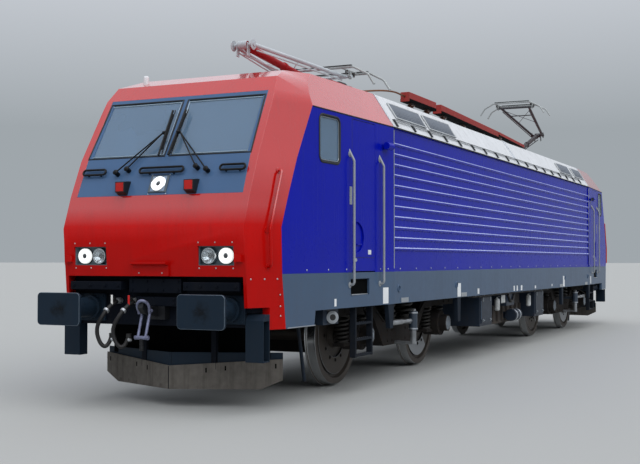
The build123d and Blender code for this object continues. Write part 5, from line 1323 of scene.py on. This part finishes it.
breaker = copies(lathe("circuit_breakers", breaker_section, 28), [facing(at(3.42, breaker_y, 3.960), ahead)])
done(breaker, porcelain)
breaker_legs = [insulator("post", x, breaker_y, 0.060, 0.215, 4) for x in (3.50, 3.86)]
done(join(breaker_legs, "breaker_posts"), porcelain)

# Pantographs
# Steel tube frames: a red lower arm, a grey upper frame with a wire brace, a sprung head of two
# bows with graphite strips, hinges with bolted plates, and a red base with its raising bellows.
# Enamel on steel tube: streaked red and clean grey on pantograph 1, darker brown on pantograph 2
red_arm = coach_paint("red pantograph enamel", "#94141A", dirt=0.0, streaks=0.35, roughness=0.4, coat=0.0)
tube_paint = finish("light grey tube enamel", "#B4BCC1", 0.4, grain=0.1)
brown_arm = finish("darker brown arm enamel", "#241C20", 0.5, grain=0.2, mottle=0.3)
brown_tube = finish("darker brown tube enamel", "#26262C", 0.5, grain=0.2, mottle=0.3)
# Graphite: dark with a dull metal shine. Bows: weathered pale grey metal.
graphite = finish("graphite strip", "#1B1C1E", 0.4, metallic=0.2, grain=0.25, grain_size=0.01)
horn_grey = finish("weathered aluminium bow", "#9BA0A0", 0.5, metallic=0.35, grain=0.2, mottle=0.2)
rounded("pantograph_bases", red_arm, 0.004)
mast_x, mast_height, lower_arm, upper_arm = 5.300, 4.020, 2.100, 2.120
folded_lower, folded_upper, arm_ratio = 4.9, -2.6, 1.13
knee_half, strip_spacing, strip_z = 0.120, 0.570, 0.075


def ride_on(part, piece, name, material):
    """Puts a piece that was built over cab 1 on a part of pantograph n, which stands turned by turn."""
    piece = copies(piece, [turn])
    piece.name = f"{name}_{n}"
    done(piece, material, f"pantograph_{n}_{part}")


# Number, turn, lower arm angle at rest, half widths of head and frame, paint of arm and frame
pantographs = [(1, no_turn, 4.9, 0.975, 0.420, red_arm, tube_paint),
               (2, half_turn, 17.2, 0.725, 0.320, brown_arm, brown_tube)]
for n, turn, angle, head_half, frame_half, arm_finish, frame_finish in pantographs:
    lower, upper = math.radians(angle), math.radians(folded_upper + (angle - folded_lower) * arm_ratio)
    mast = at(mast_x, 0, mast_height)
    knee = mast + Vector((math.cos(lower), 0, math.sin(lower))) * lower_arm
    tip = knee + Vector((-math.cos(upper), 0, math.sin(upper))) * upper_arm
    arm_way, frame_way = (knee - mast).normalized(), (tip - knee).normalized()
    over = Vector((-arm_way.z, 0, arm_way.x))
    for part, material in (("lower_arm", arm_finish), ("upper_arm", frame_finish), ("head", horn_grey)):
        paint(f"pantograph_{n}_{part}", material)
    collar = lathe("collar", [(0.048, 0.0), (0.060, 0.004), (0.060, 0.050), (0.048, 0.056), (0.048, 0.0)], 28)
    collars = copies(collar, [facing(mast + arm_way * reach, arm_way) for reach in (0.12, 0.98, 1.92)])
    ride_on("lower_arm", collars, "arm_collars", arm_finish)
    rod = tube("rod", [mast + arm_way * 0.16 - over * 0.060, knee - over * 0.115], 0.011)
    ride_on("lower_arm", rod, "coupling_rods", frame_finish)
    lug_place = Matrix.Translation(mast + arm_way * 0.16 - over * 0.054)
    ride_on("lower_arm", copies(block("lug", (0.030, 0.030, 0.046), 0.004), [lug_place]), "rod_lugs",
            arm_finish)
    yoke_places = [Matrix.Translation(knee - over * 0.062 + sideways * y) @ Matrix.Rotation(-lower, 4, "Y")
                   for y in (-0.074, 0.074)]
    sleeve = lathe("sleeve", [(0.0455, -0.062), (0.051, -0.060), (0.051, 0.060), (0.0455, 0.062),
                              (0.0455, -0.062)], 28)
    yokes = join([copies(block("yoke", (0.070, 0.010, 0.165), 0.004), yoke_places),
                  copies(sleeve, [facing(knee, sideways)])], "knee_yokes")
    ride_on("lower_arm", yokes, "knee_yokes", frame_finish)
    knee_plate = lathe("plate", [(0.0, 0.0), (0.066, 0.0), (0.070, 0.003), (0.070, 0.009), (0.060, 0.012),
                                 (0.030, 0.014), (0.030, 0.026), (0.0, 0.028)], 32)
    knee_plates = other_side(copies(knee_plate, [facing(knee + sideways * (knee_half + 0.012), sideways)]))
    ride_on("upper_arm", knee_plates, "knee_plates", frame_finish)
    braces = []
    below = Vector((-frame_way.z, 0, frame_way.x)) * 0.058
    if below.z > 0:
        below = -below
    flare = frame_half - knee_half
    for side in (-sideways, sideways):
        start = knee + frame_way * 1.00 + side * (knee_half + flare * 0.472)
        end = knee + frame_way * 1.95 - side * (knee_half + flare * 0.920)
        braces.append(tube("brace", [start, end], 0.0055))
        guide_ends = [knee + frame_way * 0.10 + below + side * (knee_half + 0.015),
                      tip - frame_way * 0.08 + below + side * (frame_half - 0.012)]
        braces.append(tube("guide", guide_ends, 0.010))
    cross_half = knee_half + flare * 0.731
    cross_ends = [knee + frame_way * 1.55 + side * cross_half for side in (-sideways, sideways)]
    braces.append(tube("cross", cross_ends, 0.012))
    ride_on("upper_arm", join(braces, "braces"), "frame_braces", frame_finish)
    bow_offsets = (-strip_spacing / 2, strip_spacing / 2)
    strip_places = [Matrix.Translation(tip + Vector((offset, 0, strip_z + 0.024))) for offset in bow_offsets]
    strip = copies(block("strip", (0.0405, 2 * (head_half - 0.330) + 0.001, 0.021), 0.003), strip_places)
    ride_on("head", strip, "graphite_strips", graphite)
    spring_ys = (-frame_half - 0.075, frame_half + 0.075)
    spring_places = [Matrix.Translation(tip + Vector((offset, y, strip_z - 0.062)))
                     for offset in (-0.12, 0.12) for y in spring_ys]
    spring = copies(coil("spring", 0.016, 0.004, 0.062, 5), spring_places)
    ride_on("head", spring, "head_springs", spring_steel)
    seat_bars = [tube("bar", [tip + Vector((x, y, strip_z - 0.066)) for x in (-0.14, 0.14)], 0.009)
                 for y in spring_ys]
    ride_on("head", join(seat_bars, "bars"), "spring_bars", horn_grey)
    horn_places = [Matrix.Translation(tip + Vector((offset, y, strip_z - 0.244))) for offset in bow_offsets
                   for y in (0.004 - head_half, head_half - 0.004)]
    ball = lathe("ball", [(0.0, -0.020), (0.014, -0.014), (0.020, 0.0), (0.014, 0.014), (0.0, 0.020)], 16)
    ride_on("head", copies(ball, horn_places), "horn_ends", horn_grey)
base_bolt_places = [stand(x, y, mast_height - 0.060) for x in (5.265, 5.335) for y in (-0.48, 0.48)]
base_bolt_places += [stand(5.890, y, mast_height - 0.065) for y in (-0.30, 0.0, 0.30)]
put(bolt("base_bolts", 0.012, 0.010), zinc, base_bolt_places, sides=False)
bellows_section = [(0.0, 0.0), (0.060, 0.0), (0.066, 0.012), (0.052, 0.030)]
fold_pitch = 0.036
for fold in range(5):
    bellows_section += [(0.074, 0.046 + fold_pitch * fold), (0.052, 0.064 + fold_pitch * fold)]
bellows_section += [(0.066, 0.230), (0.060, 0.242), (0.0, 0.242)]
bellows_ys = (-0.24, 0.24)
bellows_places = [facing(at(4.900, y, mast_height - 0.010), ahead) for y in bellows_ys]
put(lathe("raising_bellows", bellows_section, 32), seal_rubber, bellows_places, sides=False)
stay_x, stay_foot = 4.905, mast_height - 0.095
stays = [tube("stay", [at(stay_x, y, stay_foot), at(stay_x, y, mast_height - 0.010)], 0.018)
         for y in bellows_ys]
stays.append(tube("stay", [at(stay_x, y, stay_foot) for y in (-0.50, 0.50)], 0.022))
put(join(stays, "bellows_stays"), red_arm, sides=False)

# Cab inside
# A grey laminate desk with its screens and levers, a sprung seat in ribbed cloth, and the pale
# wall behind with its door: all are seen through the tinted panes.
# Laminates with a fine even texture, smooth dark displays, and ribbed cloth that takes no light
desk_laminate = finish("grey desk laminate", "#4A4F54", 0.5, grain=0.1, grain_size=0.004)
wall_laminate = finish("pale wall laminate", "#A9ADAC", 0.5, grain=0.05, grain_size=0.01)
screen_glass = finish("dark display glass", "#10161C", 0.08)
seat_cloth = finish("ribbed seat cloth", "#2A2F3B", 0.85, grain=0.5, grain_size=0.004)
rounded("driver_desks", desk_laminate, 0.004)
rounded("cab_bulkheads", wall_laminate, 0.003)
display_places = [facing(at(8.475, y, 2.355), (-1, 0, 0.35)) for y in (-0.82, -0.48, -0.14, 0.55)]
put(block("desk_displays", (0.20, 0.27, 0.016), 0.006), screen_glass, display_places,
    sides=False)
lever = lathe("desk_levers", [(0.0, 0.0), (0.030, 0.0), (0.030, 0.010), (0.007, 0.016), (0.007, 0.090),
                              (0.017, 0.100), (0.019, 0.118), (0.010, 0.132), (0.0, 0.134)], 20)
put(lever, black, [stand(8.385, y, 2.280) for y in (-0.74, -0.22)], sides=False)
door_leaf = block("bulkhead_doors", (0.020, 0.62, 1.72), 0.004)
put(door_leaf, grille_mesh, [stand(6.528, 0.0, 2.300)], sides=False)
seat_x, seat_y, seat_top = 7.900, -0.480, 1.880


def cushion(name, size, crown):
    """A padded cushion: a block whose faces swell between piped edges."""
    piece = cube(name, size)
    bpy.ops.object.mode_set(mode="EDIT")
    bpy.ops.mesh.select_all(action="SELECT")
    bpy.ops.mesh.bevel(offset=min(size) * 0.30, segments=3, affect="EDGES")
    bpy.ops.mesh.select_all(action="SELECT")
    bpy.ops.mesh.subdivide(number_cuts=2, smoothness=crown)
    bpy.ops.object.mode_set(mode="OBJECT")
    bpy.ops.object.shade_smooth()
    return piece


pan = cushion("seat_pan", (0.46, 0.46, 0.105), 0.25)
pan = copies(pan, [stand(seat_x - 0.005, seat_y, seat_top - 0.050)])
back = cushion("seat_back", (0.10, 0.44, 0.66), 0.25)
lean = Matrix.Rotation(math.radians(-6.5), 4, "Y")
back = copies(back, [stand(seat_x - 0.222, seat_y, seat_top + 0.305) @ lean])
seats = put(join([pan, back], "seat_cushions"), seat_cloth, sides=False)
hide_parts("driver_seats")
pillar = lathe("seat_pillars", [(0.0, 0.0), (0.205, 0.0), (0.210, 0.006), (0.205, 0.022), (0.070, 0.034),
                                (0.060, 0.050), (0.060, 0.370), (0.0, 0.370)], 36)
put(pillar, black, [stand(seat_x, seat_y, 1.416)], sides=False)
